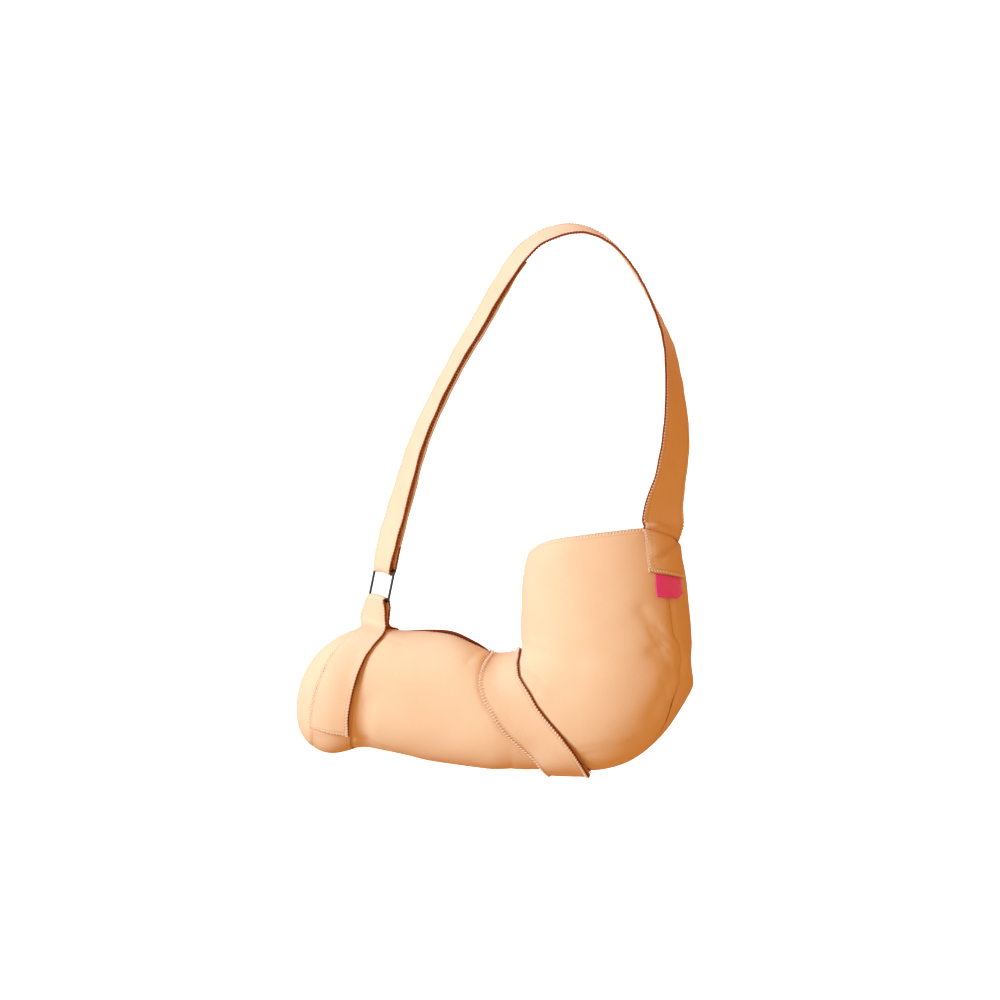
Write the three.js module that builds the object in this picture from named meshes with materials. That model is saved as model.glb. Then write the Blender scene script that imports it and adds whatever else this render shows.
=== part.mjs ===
import * as THREE from 'three';
import { mergeVertices } from 'three/addons/utils/BufferGeometryUtils.js';

// Arm sling of laminated foam cloth in its worn form, in millimetres, +Z up.
// The forearm points to -X and away from the viewer, the upper arm to +Z, and
// the outside of the sling faces -Y. The sling is drawn round the crook of the
// elbow and then shifted, so that the origin is under the shoulder strap.

// Pouch sizes
const forearmReach = 210;      // crook to finger tips
const forearmDepth = 118;      // top to bottom
const forearmWidth = 92;       // side to side
const elbowReach = 171;        // crook to the back of the elbow
const crookRadius = 8;
const sleeveWidth = 118;
const sleeveHeight = 109;      // crook to the highest point of the rim
const forearmSlant = 12;       // degrees, towards the body
const slantBend = 40;          // length over which the slant sets in
const wall = 3;                // laminated cloth of the pouch
const roundness = 2.2;         // 2 is an ellipse, more is squarer
const slitWidth = 16;          // mouth on top of the forearm

// Strap and ring sizes
const strapWidth = 40;
const strapThick = 2.6;
const elbowBandWidth = 40;
const loopRise = 306;          // shoulder strap over the line from ring to rim
const loopLean = 62;           // how far the top leans towards the body
const patchLength = 41;        // sewn end of the shoulder strap on the sleeve
const patchSpread = 8;         // how much wider it is where it comes over the rim
const ringInnerWidth = 34.5;
const ringInnerHeight = 27;
const ringWire = 2.6;
const ringCorner = 2.4;        // radius at the middle of the wire
const ringRise = 43;           // ring's middle over the top of the wrist
const pinchDrop = 19;          // stitched neck of the wrist strap below the ring
const pinchBow = 9;            // how stiffly the strap bends away at its neck
const rimBow = 9;              // the same where the shoulder strap leaves the sleeve
const hookThick = 1;
const hookLength = 32;
const hookMargin = 3;          // cloth beyond the pad at each end
const tabWidth = 32;
const tabLength = 24;
const tabThick = 1;

// Clearances
const seamGap = 0.3;           // between the two panels
const bandClear = 1.15;        // between the pouch and what lies on it
const plyGap = 0.4;            // between plies that lie on each other
const wireClear = 0.35;        // between the ring and the cloth round it

const walkStep = 1.5;          // length of one step over the pouch
const loopRows = 46;           // rows of the shoulder strap from ring to rim
const returnRows = 18;         // and of its folded-back end
const turnCount = 6;           // rows where a strap turns round the ring

// Lengths in the tables are shares of the sizes above. A place on the pouch is
// `at`, 0 at the finger tips, 1 at the crook, 2 where the sleeve starts and 3 at
// the rim, and `round`, 0 at the bottom and back, a quarter on the near side,
// a half at the top and front and three quarters on the far side.

// Forearm: middle height and depth in forearm depths, width in forearm widths
const forearmSections = [
  { along: 1.00, middle: -0.585, depth: 0.990, width: 0.90 },
  { along: 0.92, middle: -0.528, depth: 0.990, width: 0.92 },
  { along: 0.83, middle: -0.477, depth: 0.990, width: 0.92 },
  { along: 0.72, middle: -0.412, depth: 0.984, width: 0.87 },
  { along: 0.61, middle: -0.407, depth: 0.998, width: 0.92 },
  { along: 0.50, middle: -0.431, depth: 1.016, width: 1.00 },
  { along: 0.39, middle: -0.448, depth: 1.070, width: 1.05 },
  { along: 0.27, middle: -0.470, depth: 1.086, width: 1.10 },
  { along: 0.16, middle: -0.520, depth: 1.025, width: 1.15 },
  { along: 0.08, middle: -0.556, depth: 0.978, width: 1.18 },
];

// Elbow: turn in right angles from straight down, reach in elbow reaches,
// width in sleeve widths
const elbowSections = [
  { turn: 0.00, reach: 0.716, width: 0.93 },
  { turn: 0.15, reach: 0.738, width: 0.94 },
  { turn: 0.30, reach: 0.808, width: 0.95 },
  { turn: 0.49, reach: 0.928, width: 0.96 },
  { turn: 0.64, reach: 0.980, width: 0.97 },
  { turn: 0.75, reach: 1.006, width: 0.97 },
  { turn: 0.83, reach: 1.023, width: 0.98 },
  { turn: 0.91, reach: 1.000, width: 0.99 },
  { turn: 1.00, reach: 1.000, width: 1.00 },
];

// Sleeve: front and back in elbow reaches, the front counted from the crook
const sleeveSections = [
  { up: 0.20, front: 0.002, back: 0.993, width: 1.00 },
  { up: 0.40, front: 0.006, back: 0.982, width: 1.00 },
  { up: 0.60, front: 0.009, back: 0.970, width: 0.99 },
  { up: 0.80, front: 0.022, back: 0.952, width: 0.98 },
  { up: 1.00, front: 0.046, back: 0.928, width: 0.97 },
];

// Rim of the sleeve: height in sleeve heights
const rimHeights = [
  { round: 0.000, height: 0.845 },
  { round: 0.080, height: 0.930 },
  { round: 0.165, height: 1.000 },
  { round: 0.297, height: 0.940 },
  { round: 0.390, height: 0.885 },
  { round: 0.500, height: 0.780 },
  { round: 0.620, height: 0.800 },
  { round: 0.750, height: 0.835 },
  { round: 0.900, height: 0.825 },
  { round: 1.000, height: 0.845 },
];

// Seams between the two panels
const backSeam = [
  { at: 0.00, round: 0.000 },
  { at: 0.90, round: 0.010 },
  { at: 1.37, round: 0.040 },
  { at: 1.55, round: 0.035 },
  { at: 1.70, round: 0.072 },
  { at: 1.80, round: 0.098 },
  { at: 1.92, round: 0.088 },
  { at: 2.10, round: 0.118 },
  { at: 3.00, round: 0.125 },
];
const topSeam = [
  { at: 0.00, round: 0.500 },
  { at: 2.00, round: 0.505 },
  { at: 3.00, round: 0.550 },
];

// Mouth on top of the forearm: share of its width that each hem draws back
const slit = [
  { at: 0.48, near: 0.00, far: 0.00 },
  { at: 0.58, near: 0.28, far: 0.20 },
  { at: 0.72, near: 0.62, far: 0.38 },
  { at: 0.84, near: 0.52, far: 0.30 },
  { at: 0.93, near: 0.00, far: 0.00 },
];

// Dents pressed into the cloth, and bulges where the depth is negative, as
// straight lines between two places, in forearm depths
const folds = [
  { at: 0.94, round: 0.56, toAt: 0.94, toRound: 0.42, breadth: 0.16, depth: 0.026 },
  { at: 0.90, round: 0.36, toAt: 1.10, toRound: 0.16, breadth: 0.14, depth: 0.022 },
  { at: 2.30, round: 0.19, toAt: 2.02, toRound: 0.15, breadth: 0.06, depth: 0.022 },
  { at: 1.97, round: 0.17, toAt: 1.90, toRound: 0.10, breadth: 0.06, depth: 0.026 },
  { at: 1.84, round: 0.13, toAt: 1.70, toRound: 0.13, breadth: 0.07, depth: 0.020 },
  { at: 1.93, round: 0.06, toAt: 1.86, toRound: 0.02, breadth: 0.07, depth: -0.030 },
  { at: 1.38, round: 0.14, toAt: 1.56, toRound: 0.11, breadth: 0.07, depth: 0.018 },
  { at: 2.10, round: 0.40, toAt: 1.90, toRound: 0.30, breadth: 0.10, depth: 0.018 },
  { at: 0.32, round: 0.06, toAt: 0.34, toRound: 0.22, breadth: 0.09, depth: 0.024 },
];

// Middle line of the wrist strap, up the near side and down the far side, with
// its width in strap widths
const wristNear = [
  { round: 0.160, at: 0.165, width: 1.00 },
  { round: 0.230, at: 0.174, width: 0.98 },
  { round: 0.300, at: 0.220, width: 0.92 },
  { round: 0.350, at: 0.264, width: 0.86 },
  { round: 0.390, at: 0.306, width: 0.82 },
  { round: 0.425, at: 0.342, width: 0.80 },
];
const wristFar = [
  { round: 0.550, at: 0.395, width: 0.90 },
  { round: 0.600, at: 0.385, width: 0.94 },
  { round: 0.680, at: 0.350, width: 0.98 },
  { round: 0.780, at: 0.290, width: 1.00 },
  { round: 0.880, at: 0.220, width: 1.00 },
  { round: 1.000, at: 0.180, width: 1.00 },
  { round: 1.120, at: 0.168, width: 1.00 },
  { round: 1.300, at: 0.198, width: 1.00 },
];

// Middle line of the elbow band, from its free end under the elbow up the near
// side, over the crook and down the far side, with its width in band widths
const elbowLine = [
  { round: -0.015, at: 1.264, width: 1.00 },
  { round: 0.070, at: 1.255, width: 1.04 },
  { round: 0.150, at: 1.216, width: 1.05 },
  { round: 0.220, at: 1.112, width: 1.05 },
  { round: 0.265, at: 1.005, width: 1.08 },
  { round: 0.320, at: 0.948, width: 1.06 },
  { round: 0.380, at: 0.948, width: 0.90 },
  { round: 0.440, at: 0.966, width: 0.74 },
  { round: 0.500, at: 0.973, width: 0.69 },
  { round: 0.570, at: 0.966, width: 0.74 },
  { round: 0.640, at: 0.955, width: 0.92 },
  { round: 0.720, at: 0.990, width: 1.00 },
  { round: 0.790, at: 1.080, width: 1.00 },
  { round: 0.860, at: 1.180, width: 1.00 },
  { round: 0.930, at: 1.255, width: 1.00 },
  { round: 1.000, at: 1.270, width: 1.00 },
  { round: 1.080, at: 1.250, width: 1.00 },
];

// Shoulder strap from the ring to the rim: along in spans from ring to rim, up
// in loop rises, lean in loop leans, and face, the share of its width that
// shows from the front
const shoulderLine = [
  { along: 0.010, up: 0.050, lean: 0.03, face: 0.53 },
  { along: 0.079, up: 0.260, lean: 0.14, face: 0.45 },
  { along: 0.122, up: 0.381, lean: 0.24, face: 0.40 },
  { along: 0.184, up: 0.500, lean: 0.36, face: 0.36 },
  { along: 0.258, up: 0.619, lean: 0.49, face: 0.32 },
  { along: 0.343, up: 0.736, lean: 0.63, face: 0.30 },
  { along: 0.423, up: 0.848, lean: 0.76, face: 0.29 },
  { along: 0.497, up: 0.935, lean: 0.87, face: 0.27 },
  { along: 0.567, up: 0.982, lean: 0.94, face: 0.26 },
  { along: 0.652, up: 1.000, lean: 0.99, face: 0.26 },
  { along: 0.748, up: 0.982, lean: 0.99, face: 0.22 },
  { along: 0.829, up: 0.931, lean: 0.95, face: 0.13 },
  { along: 0.901, up: 0.847, lean: 0.87, face: 0.06 },
  { along: 0.970, up: 0.728, lean: 0.76, face: 0.09 },
  { along: 1.027, up: 0.588, lean: 0.60, face: 0.28 },
  { along: 1.050, up: 0.397, lean: 0.38, face: 0.54 },
  { along: 1.047, up: 0.277, lean: 0.25, face: 0.70 },
  { along: 1.026, up: 0.161, lean: 0.13, face: 0.77 },
  { along: 1.008, up: 0.086, lean: 0.06, face: 0.81 },
];
const returnShare = 0.40;      // share of the strap's length that is folded back
const widenShare = 0.08;       // share over which it widens from the ring
const spreadShare = 0.12;      // and over which it spreads towards the rim
const hookInset = 0.2;         // pad lengths between its pad and the folded end
const neckShare = 0.35;        // how far down its neck the wrist strap is drawn in
const neckOpen = 0.85;         // share of its width that it has there
const plyStep = 0.012;         // shares of the way round a band past its overlap
const plyDrop = 0.09;          // and over which its upper ply comes down
const patchRound = 0.112;
const wristAt = 0.40;          // the ring hangs over this place
const ringLean = 11.5;         // degrees from upright
const ringFace = 0.54;         // as the face column of the shoulder strap
const rimFace = 0.82;          // the same where the strap reaches the rim
const pinchFace = 0.67;        // the same at the stitched neck below the ring
const tipShare = 0.28;         // the forearm's share that rounds off to the tips
const slantFrom = 0.51;        // elbow reaches behind the crook

// Cloth colours of the sides that face the light and of the straps
const clothColour = 0xe9bd8f;
const strapColour = 0xe4b284;
const tabColour = 0xe8207a;
const steelColour = 0x5c6064;
const hookColour = 0xd8a67c;

const X = new THREE.Vector3(1, 0, 0);
const Y = new THREE.Vector3(0, 1, 0);
const Z = new THREE.Vector3(0, 0, 1);
const point = (x, y, z) => new THREE.Vector3(x, y, z);
const mix = (a, b, share) => a + (b - a) * share;
const steps = (count) => Array.from({ length: count + 1 }, (_, k) => k / count);

// Smooth curve through one column of a table, by another column
function follow(rows, key, column) {
  const at = rows.map((row) => row[key]);
  const value = rows.map((row) => row[column]);
  const slope = value.map((_, k) => {
    const before = Math.max(k - 1, 0);
    const after = Math.min(k + 1, value.length - 1);
    return (value[after] - value[before]) / (at[after] - at[before]);
  });
  return (place) => {
    let k = 0;
    while (k < at.length - 2 && place > at[k + 1]) k += 1;
    const span = at[k + 1] - at[k];
    const t = THREE.MathUtils.clamp((place - at[k]) / span, 0, 1);
    const rise = 3 * t * t - 2 * t * t * t;
    const leave = t * (1 - t) * (1 - t) * span;
    const arrive = t * t * (t - 1) * span;
    return mix(value[k], value[k + 1], rise) + leave * slope[k] + arrive * slope[k + 1];
  };
}

// Pouch

// Heights of the forearm's top and bottom, down to the crook
const forearmHeights = [
  ...forearmSections.map(({ along, middle, depth }) => ({
    at: 1 - along,
    top: (middle + depth / 2) * forearmDepth,
    bottom: (middle - depth / 2) * forearmDepth,
  })),
  { at: 1, top: -crookRadius, bottom: -elbowSections[0].reach * elbowReach },
];
const sleeveWalls = [
  { up: 0, front: 0, back: elbowSections[elbowSections.length - 1].reach },
  ...sleeveSections,
];
const halfWidths = [
  ...forearmSections.map(({ along, width }) => ({
    at: 1 - along, half: width * forearmWidth / 2,
  })),
  ...elbowSections.map(({ turn, width }) => ({ at: 1 + turn, half: width * sleeveWidth / 2 })),
  ...sleeveSections.map(({ up, width }) => ({ at: 2 + up, half: width * sleeveWidth / 2 })),
];
const forearmTop = follow(forearmHeights, 'at', 'top');
const forearmBottom = follow(forearmHeights, 'at', 'bottom');
const elbowShare = follow(elbowSections, 'turn', 'reach');
const sleeveFront = follow(sleeveWalls, 'up', 'front');
const sleeveBack = follow(sleeveWalls, 'up', 'back');
const halfWidth = follow(halfWidths, 'at', 'half');
const rimHeight = follow(rimHeights, 'round', 'height');

// Cosine or sine of a section that is squarer than an ellipse
function squared(value) {
  return Math.sign(value) * Math.abs(value) ** (2 / roundness);
}

function tipRounding(at) {
  const left = THREE.MathUtils.clamp(1 - at / tipShare, 0, 1);
  return (1 - left ** roundness) ** (1 / roundness);
}

// Shift towards the body that slants the forearm
function slantShift(x) {
  const ahead = slantFrom * elbowReach - x;
  const eased = (ahead + Math.hypot(ahead, slantBend)) / 2;
  return eased * Math.tan(THREE.MathUtils.degToRad(forearmSlant));
}

// Ends of the section at a place, at the crook's side and at the outer side
function section(at) {
  if (at <= 1) {
    const x = (at - 1) * forearmReach;
    return { inner: point(x, 0, forearmTop(at)), outer: point(x, 0, forearmBottom(at)) };
  }
  if (at <= 2) {
    const angle = (at - 1) * Math.PI / 2;
    const way = point(Math.sin(angle), 0, -Math.cos(angle));
    return {
      inner: way.clone().multiplyScalar(crookRadius),
      outer: way.clone().multiplyScalar(elbowShare(at - 1) * elbowReach),
    };
  }
  return {
    inner: point(crookRadius + sleeveFront(at - 2) * elbowReach, 0, 0),
    outer: point(sleeveBack(at - 2) * elbowReach, 0, 0),
  };
}

// Point on the smooth pouch, without its folds
function smoothPouch(at, round) {
  const place = THREE.MathUtils.clamp(at, 0, 3);
  const turn = 2 * Math.PI * round;
  const shrink = tipRounding(place);
  const { inner, outer } = section(place);
  const spot = inner.lerp(outer, (1 + squared(Math.cos(turn)) * shrink) / 2);
  spot.y = slantShift(spot.x) - squared(Math.sin(turn)) * shrink * halfWidth(place);
  if (place > 2) spot.z = (place - 2) * rimHeight(round - Math.floor(round)) * sleeveHeight;
  return spot;
}

// Directions along and round the pouch at a place, and the way out of the cloth
function pouchFrame(at, round) {
  const stepAt = 0.004;
  const stepRound = 0.004;
  const from = Math.max(at - stepAt, 0.002);
  const to = Math.min(at + stepAt, 3);
  const alongWay = smoothPouch(to, round).sub(smoothPouch(from, round)).divideScalar(to - from);
  const before = smoothPouch(Math.max(at, stepAt), round - stepRound);
  const roundWay = smoothPouch(Math.max(at, stepAt), round + stepRound).sub(before);
  roundWay.divideScalar(2 * stepRound);
  const out = alongWay.clone().cross(roundWay).normalize();
  return { alongWay, roundWay, out };
}

const foldLines = folds.map((fold) => ({
  line: new THREE.Line3(smoothPouch(fold.at, fold.round), smoothPouch(fold.toAt, fold.toRound)),
  breadth: fold.breadth * forearmDepth,
  depth: fold.depth * forearmDepth,
}));

function foldDepth(place) {
  const nearest = point(0, 0, 0);
  return foldLines.reduce((sum, { line, breadth, depth }) => {
    line.closestPointToPoint(place, true, nearest);
    return sum + depth * Math.exp(-((nearest.distanceTo(place) / breadth) ** 2));
  }, 0);
}

// Point on the folded pouch, raised over the cloth by a lift
function pouch(at, round, lift = 0) {
  const place = smoothPouch(at, round);
  const { out } = pouchFrame(at, round);
  return place.addScaledVector(out, lift - foldDepth(place));
}

// Place reached by going over the pouch from a place in a direction
function walk(at, round, direction, distance) {
  const count = Math.max(1, Math.ceil(Math.abs(distance) / walkStep));
  const stride = distance / count;
  const way = direction.clone();
  let place = { at, round };
  for (let k = 0; k < count; k += 1) {
    const { alongWay, roundWay, out } = pouchFrame(place.at, place.round);
    way.addScaledVector(out, -way.dot(out)).normalize();
    const aa = alongWay.dot(alongWay);
    const rr = roundWay.dot(roundWay);
    const ar = alongWay.dot(roundWay);
    const a = way.dot(alongWay);
    const r = way.dot(roundWay);
    const scale = stride / (aa * rr - ar * ar);
    place = {
      at: THREE.MathUtils.clamp(place.at + scale * (a * rr - r * ar), 0.01, 3),
      round: place.round + scale * (r * aa - a * ar),
    };
  }
  return place;
}

// Closed solids

// Closed solid between two grids of points of the same size
function between(outer, inner) {
  const triangles = [];
  const quad = (a, b, c, d) => triangles.push(a, b, c, a, c, d);
  const last = outer.length - 1;
  const side = outer[0].length - 1;
  for (let i = 0; i < last; i += 1) {
    for (let j = 0; j < side; j += 1) {
      quad(outer[i][j], outer[i + 1][j], outer[i + 1][j + 1], outer[i][j + 1]);
      quad(inner[i][j], inner[i][j + 1], inner[i + 1][j + 1], inner[i + 1][j]);
    }
    quad(outer[i][0], inner[i][0], inner[i + 1][0], outer[i + 1][0]);
    quad(outer[i][side], outer[i + 1][side], inner[i + 1][side], inner[i][side]);
  }
  for (let j = 0; j < side; j += 1) {
    quad(outer[0][j], outer[0][j + 1], inner[0][j + 1], inner[0][j]);
    quad(outer[last][j], inner[last][j], inner[last][j + 1], outer[last][j + 1]);
  }
  return solid(triangles);
}

// Geometry of a list of corners, three to a triangle, with its faces outwards
function solid(corners) {
  const soup = new THREE.BufferGeometry().setFromPoints(corners);
  const merged = mergeVertices(soup, 1e-3);
  const place = merged.getAttribute('position');
  const at = (index) => new THREE.Vector3().fromBufferAttribute(place, index);
  const kept = [];
  let volume = 0;
  for (let k = 0; k < merged.index.count; k += 3) {
    const [a, b, c] = [0, 1, 2].map((n) => merged.index.getX(k + n));
    if (a === b || b === c || c === a) continue;
    kept.push([a, b, c]);
    volume += at(a).dot(at(b).cross(at(c)));
  }
  merged.setIndex((volume < 0 ? kept.map(([a, b, c]) => [a, c, b]) : kept).flat());
  merged.computeVertexNormals();
  return merged;
}

// Sheet of an even thickness about a grid of points
function sheet(grid, thickness) {
  const last = grid.length - 1;
  const side = grid[0].length - 1;
  const offset = (share) => grid.map((row, i) => row.map((place, j) => {
    const down = grid[Math.min(i + 1, last)][j].clone().sub(grid[Math.max(i - 1, 0)][j]);
    const over = row[Math.min(j + 1, side)].clone().sub(row[Math.max(j - 1, 0)]);
    return place.clone().addScaledVector(down.cross(over).normalize(), share * thickness);
  }));
  return between(offset(0.5), offset(-0.5));
}

// Panels

const backSeamRound = follow(backSeam, 'at', 'round');
const topSeamRound = follow(topSeam, 'at', 'round');
const slitNear = follow(slit, 'at', 'near');
const slitFar = follow(slit, 'at', 'far');

// Rows of the panels: close together at the finger tips and round the elbow
const panelRows = [
  ...steps(7).map((k) => tipShare * (1 - Math.cos(k * Math.PI / 2))),
  ...steps(11).slice(1).map((k) => mix(tipShare, 1, k)),
  ...steps(15).slice(1).map((k) => 1 + k),
  ...steps(7).slice(1).map((k) => 2 + k),
];
const panelColumns = 14;

// How far a hem draws back from the top seam, as a share of the way round
function hemBack(at, share) {
  const { roundWay } = pouchFrame(at, topSeamRound(at));
  return Math.max(0, share(at)) * slitWidth / roundWay.length();
}

// Way over the cloth that leads square off a seam, to the side of rising round
function offSeam(at, seam) {
  const ahead = Math.min(at + 0.01, 3);
  const behind = Math.max(at - 0.01, 0);
  const heading = smoothPouch(ahead, seam(ahead)).sub(smoothPouch(behind, seam(behind)));
  return pouchFrame(at, seam(at)).out.cross(heading).normalize();
}

function panelGrid(isNear, lift) {
  return panelRows.map((at) => {
    const back = backSeamRound(at);
    const top = topSeamRound(at);
    const ends = isNear
      ? [back, top - hemBack(at, slitNear)]
      : [top + hemBack(at, slitFar), back + 1];
    return steps(panelColumns).map((share, k) => {
      const round = mix(ends[0], ends[1], share);
      if (at === 0) {
        const tip = smoothPouch(0, round).addScaledVector(X, -lift);
        return tip.addScaledVector(Y, isNear ? -seamGap / 2 : seamGap / 2);
      }
      const place = pouch(at, round, lift);
      const atBack = k === (isNear ? 0 : panelColumns);
      const atTop = k === (isNear ? panelColumns : 0);
      const side = isNear ? 1 : -1;
      if (atBack) place.addScaledVector(offSeam(at, backSeamRound), side * seamGap / 2);
      if (atTop) place.addScaledVector(offSeam(at, topSeamRound), -side * seamGap / 2);
      return place;
    });
  });
}

// Bands that lie on the pouch

// Rows of points across a band whose middle line is a list of places
function bandRows(places, width, lifts, count) {
  const middles = places.map(({ at, round }) => smoothPouch(at, round));
  return places.map(({ at, round, share: drawn }, k) => {
    const after = middles[Math.min(k + 1, middles.length - 1)];
    const heading = after.clone().sub(middles[Math.max(k - 1, 0)]);
    const { out } = pouchFrame(at, round);
    const across = heading.cross(out);
    if (across.dot(X) < 0) across.negate();
    return steps(count).map((share) => {
      const place = walk(at, round, across, (share - 0.5) * drawn * width);
      return pouch(place.at, place.round, lifts[k]);
    });
  });
}

// Places along a table's middle line, evenly stepped round the pouch
function line(table, from, to, count) {
  const at = follow(table, 'round', 'at');
  const width = follow(table, 'round', 'width');
  return steps(count).map((share) => {
    const round = mix(from, to, share);
    return { round, at: at(round), share: width(round) };
  });
}

const lowerLift = bandClear + strapThick / 2;
const hookLift = bandClear + strapThick + plyGap + hookThick / 2;
const upperLift = bandClear + 1.5 * strapThick + 2 * plyGap + hookThick;

// Place round the pouch that lies a length beyond the free end of a band
function pastEnd(table, length) {
  const { round, at } = table[0];
  return round + length / pouchFrame(at, round).roundWay.length();
}
const overlapEnd = (table) => pastEnd(table, hookLength + 2 * hookMargin);

// Lift of a band that starts on its own other end and comes down to the pouch
function bandLifts(places, table) {
  const down = overlapEnd(table) + plyStep;
  return places.map(({ round }) => (
    mix(upperLift, lowerLift, THREE.MathUtils.smoothstep(round, down, down + plyDrop))
  ));
}

function elbowBand() {
  const places = line(elbowLine, elbowLine[0].round, 1 + overlapEnd(elbowLine), 58);
  const lifts = bandLifts(places, elbowLine);
  return sheet(bandRows(places, elbowBandWidth, lifts, 5), strapThick);
}

// Pad that fastens a band's free end on its other end
function bandHookPad(table, width) {
  const from = pastEnd(table, hookMargin);
  const places = line(table, from, pastEnd(table, hookMargin + hookLength), 8);
  return sheet(bandRows(places, width - 2 * hookMargin, places.map(() => hookLift), 5), hookThick);
}

// Ring and what hangs on it

const ringUp = Z.clone().applyAxisAngle(Y, THREE.MathUtils.degToRad(ringLean));
const ringFrame = strapFrame(ringUp, ringFace);
const ringMiddle = smoothPouch(wristAt, 0.5).addScaledVector(Z, ringRise);
const barHeight = (ringInnerHeight + ringWire) / 2;
const neckWidth = ringInnerWidth + ringWire - 2 * ringCorner;
const turnRadius = ringWire / 2 + wireClear + strapThick / 2;

// Across and face directions of a strap that runs in a direction
function strapFrame(way, face) {
  const inside = Y.clone().cross(way).normalize();
  const nearer = inside.clone().cross(way).normalize();
  const edge = Math.sqrt(1 - face * face);
  return {
    way: way.clone().normalize(),
    across: inside.clone().multiplyScalar(face).addScaledVector(nearer, edge),
    out: inside.multiplyScalar(-edge).addScaledVector(nearer, face),
  };
}

function ring() {
  const side = (ringInnerWidth + ringWire) / 2;
  const corners = [[1, 1], [-1, 1], [-1, -1], [1, -1]];
  const path = corners.flatMap(([right, high], k) => steps(3).map((share) => {
    const angle = (k + share) * Math.PI / 2;
    const x = right * (side - ringCorner) + ringCorner * Math.cos(angle);
    const y = high * (barHeight - ringCorner) + ringCorner * Math.sin(angle);
    return { x, y, outX: Math.cos(angle), outY: Math.sin(angle) };
  }));
  const sides = steps(8).slice(1);
  const hoops = path.map(({ x, y, outX, outY }) => sides.map((share) => {
    const reach = ringWire / 2 * Math.cos(share * 2 * Math.PI);
    const rise = ringWire / 2 * Math.sin(share * 2 * Math.PI);
    return ringMiddle.clone()
      .addScaledVector(ringFrame.across, x + reach * outX)
      .addScaledVector(ringFrame.way, y + reach * outY)
      .addScaledVector(ringFrame.out, rise);
  }));
  const triangles = hoops.flatMap((hoop, i) => hoop.flatMap((_, j) => {
    const next = hoops[(i + 1) % hoops.length];
    const side = (j + 1) % hoop.length;
    return [hoop[j], next[j], next[side], hoop[j], next[side], hoop[side]];
  }));
  return solid(triangles);
}

// Row of points across a strap at the ring, off its middle line
function ringRow(height, off, count, frame = ringFrame, width = neckWidth) {
  return steps(count).map((share) => ringMiddle.clone()
    .addScaledVector(ringFrame.way, height)
    .addScaledVector(frame.out, off)
    .addScaledVector(frame.across, (share - 0.5) * width));
}

// Rows that turn round a bar of the ring, through its opening
function turnRows(height, through, count) {
  return steps(turnCount).map((share) => {
    const angle = share * Math.PI;
    const rise = height + through * turnRadius * Math.sin(angle);
    return ringRow(rise, turnRadius * Math.cos(angle), count);
  });
}

// Rows of a smooth stretch of cloth between two rows, each with its next row
function bridge(before, start, end, after, bow, count) {
  return steps(count).slice(1, -1).map((t) => start.map((place, j) => {
    const leave = place.clone().sub(before[j]).normalize().multiplyScalar(bow);
    const arrive = end[j].clone().sub(after[j]).normalize().multiplyScalar(bow);
    const curve = new THREE.CubicBezierCurve3(
      place, place.clone().add(leave), end[j].clone().add(arrive), end[j],
    );
    return curve.getPoint(t);
  }));
}

function wristStrap() {
  const count = 5;
  const landing = wristNear[wristNear.length - 1].round;
  const nearPlaces = line(wristNear, wristNear[0].round, landing, 12);
  const farPlaces = line(wristFar, wristFar[0].round, 1 + overlapEnd(wristNear), 32);
  const near = bandRows(nearPlaces, strapWidth, bandLifts(nearPlaces, wristNear), count);
  const far = bandRows(farPlaces, strapWidth, farPlaces.map(() => lowerLift), count);
  const pinchOff = (strapThick + plyGap) / 2;
  const neck = [[neckShare, neckOpen], [1, 1]].map(([share, open]) => (off) => ringRow(
    -barHeight - share * pinchDrop,
    mix(turnRadius, pinchOff, share) * off,
    count,
    strapFrame(ringUp, mix(ringFace, pinchFace, share)),
    mix(neckWidth, strapWidth, open),
  ));
  const front = [neck[1](1), neck[0](1)];
  const back = [neck[0](-1), neck[1](-1)];
  const loop = turnRows(-barHeight, 1, count);
  const up = bridge(near[near.length - 2], near[near.length - 1], front[0], front[1], pinchBow, 5);
  const down = bridge(back[0], back[1], far[0], far[1], pinchBow, 5);
  return sheet([...near, ...up, ...front, ...loop, ...back, ...down, ...far], strapThick);
}

// Shoulder strap

// Row of points on the sleeve, round it, at a distance down from the rim
function sleeveRow(down, width, lift, count) {
  const middle = walk(3, patchRound, Z.clone().negate(), down);
  const { roundWay } = pouchFrame(middle.at, middle.round);
  return steps(count).map((side) => {
    const place = walk(middle.at, middle.round, roundWay, (side - 0.5) * width);
    return pouch(place.at, place.round, lift);
  });
}

// Row of the shoulder strap's sewn end, which narrows downwards
function patchRow(down, count) {
  const width = strapWidth + patchSpread * (1 - down / patchLength);
  return sleeveRow(down, width, lowerLift, count);
}

const ringTop = ringMiddle.clone()
  .addScaledVector(ringFrame.way, barHeight)
  .addScaledVector(ringFrame.out, turnRadius);
const [rimBack, rimFront] = patchRow(0, 1);
const rimPoint = rimBack.clone().lerp(rimFront, 0.5);
const faceShare = follow(
  [{ along: 0, face: ringFace }, ...shoulderLine.map((row, k) => ({
    along: (k + 1) / (shoulderLine.length + 1),
    face: row.face,
  })), { along: 1, face: rimFace }],
  'along',
  'face',
);
const shoulderCurve = new THREE.CatmullRomCurve3([
  ringTop,
  ...shoulderLine.map(({ along, up, lean }) => ringTop.clone()
    .lerp(rimPoint, along)
    .addScaledVector(Z, up * loopRise)
    .addScaledVector(Y, lean * loopLean)),
  rimPoint,
], false, 'centripetal');

// Row of points across the shoulder strap, off its middle line
function shoulderRow(t, off, count) {
  const { across, out } = strapFrame(shoulderCurve.getTangent(t), faceShare(t));
  const width = mix(neckWidth, strapWidth, THREE.MathUtils.smoothstep(t, 0, widenShare))
    + patchSpread * THREE.MathUtils.smoothstep(t, 1 - spreadShare, 1);
  return steps(count).map((share) => shoulderCurve.getPoint(t)
    .addScaledVector(across, (share - 0.5) * width)
    .addScaledVector(out, off));
}

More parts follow.
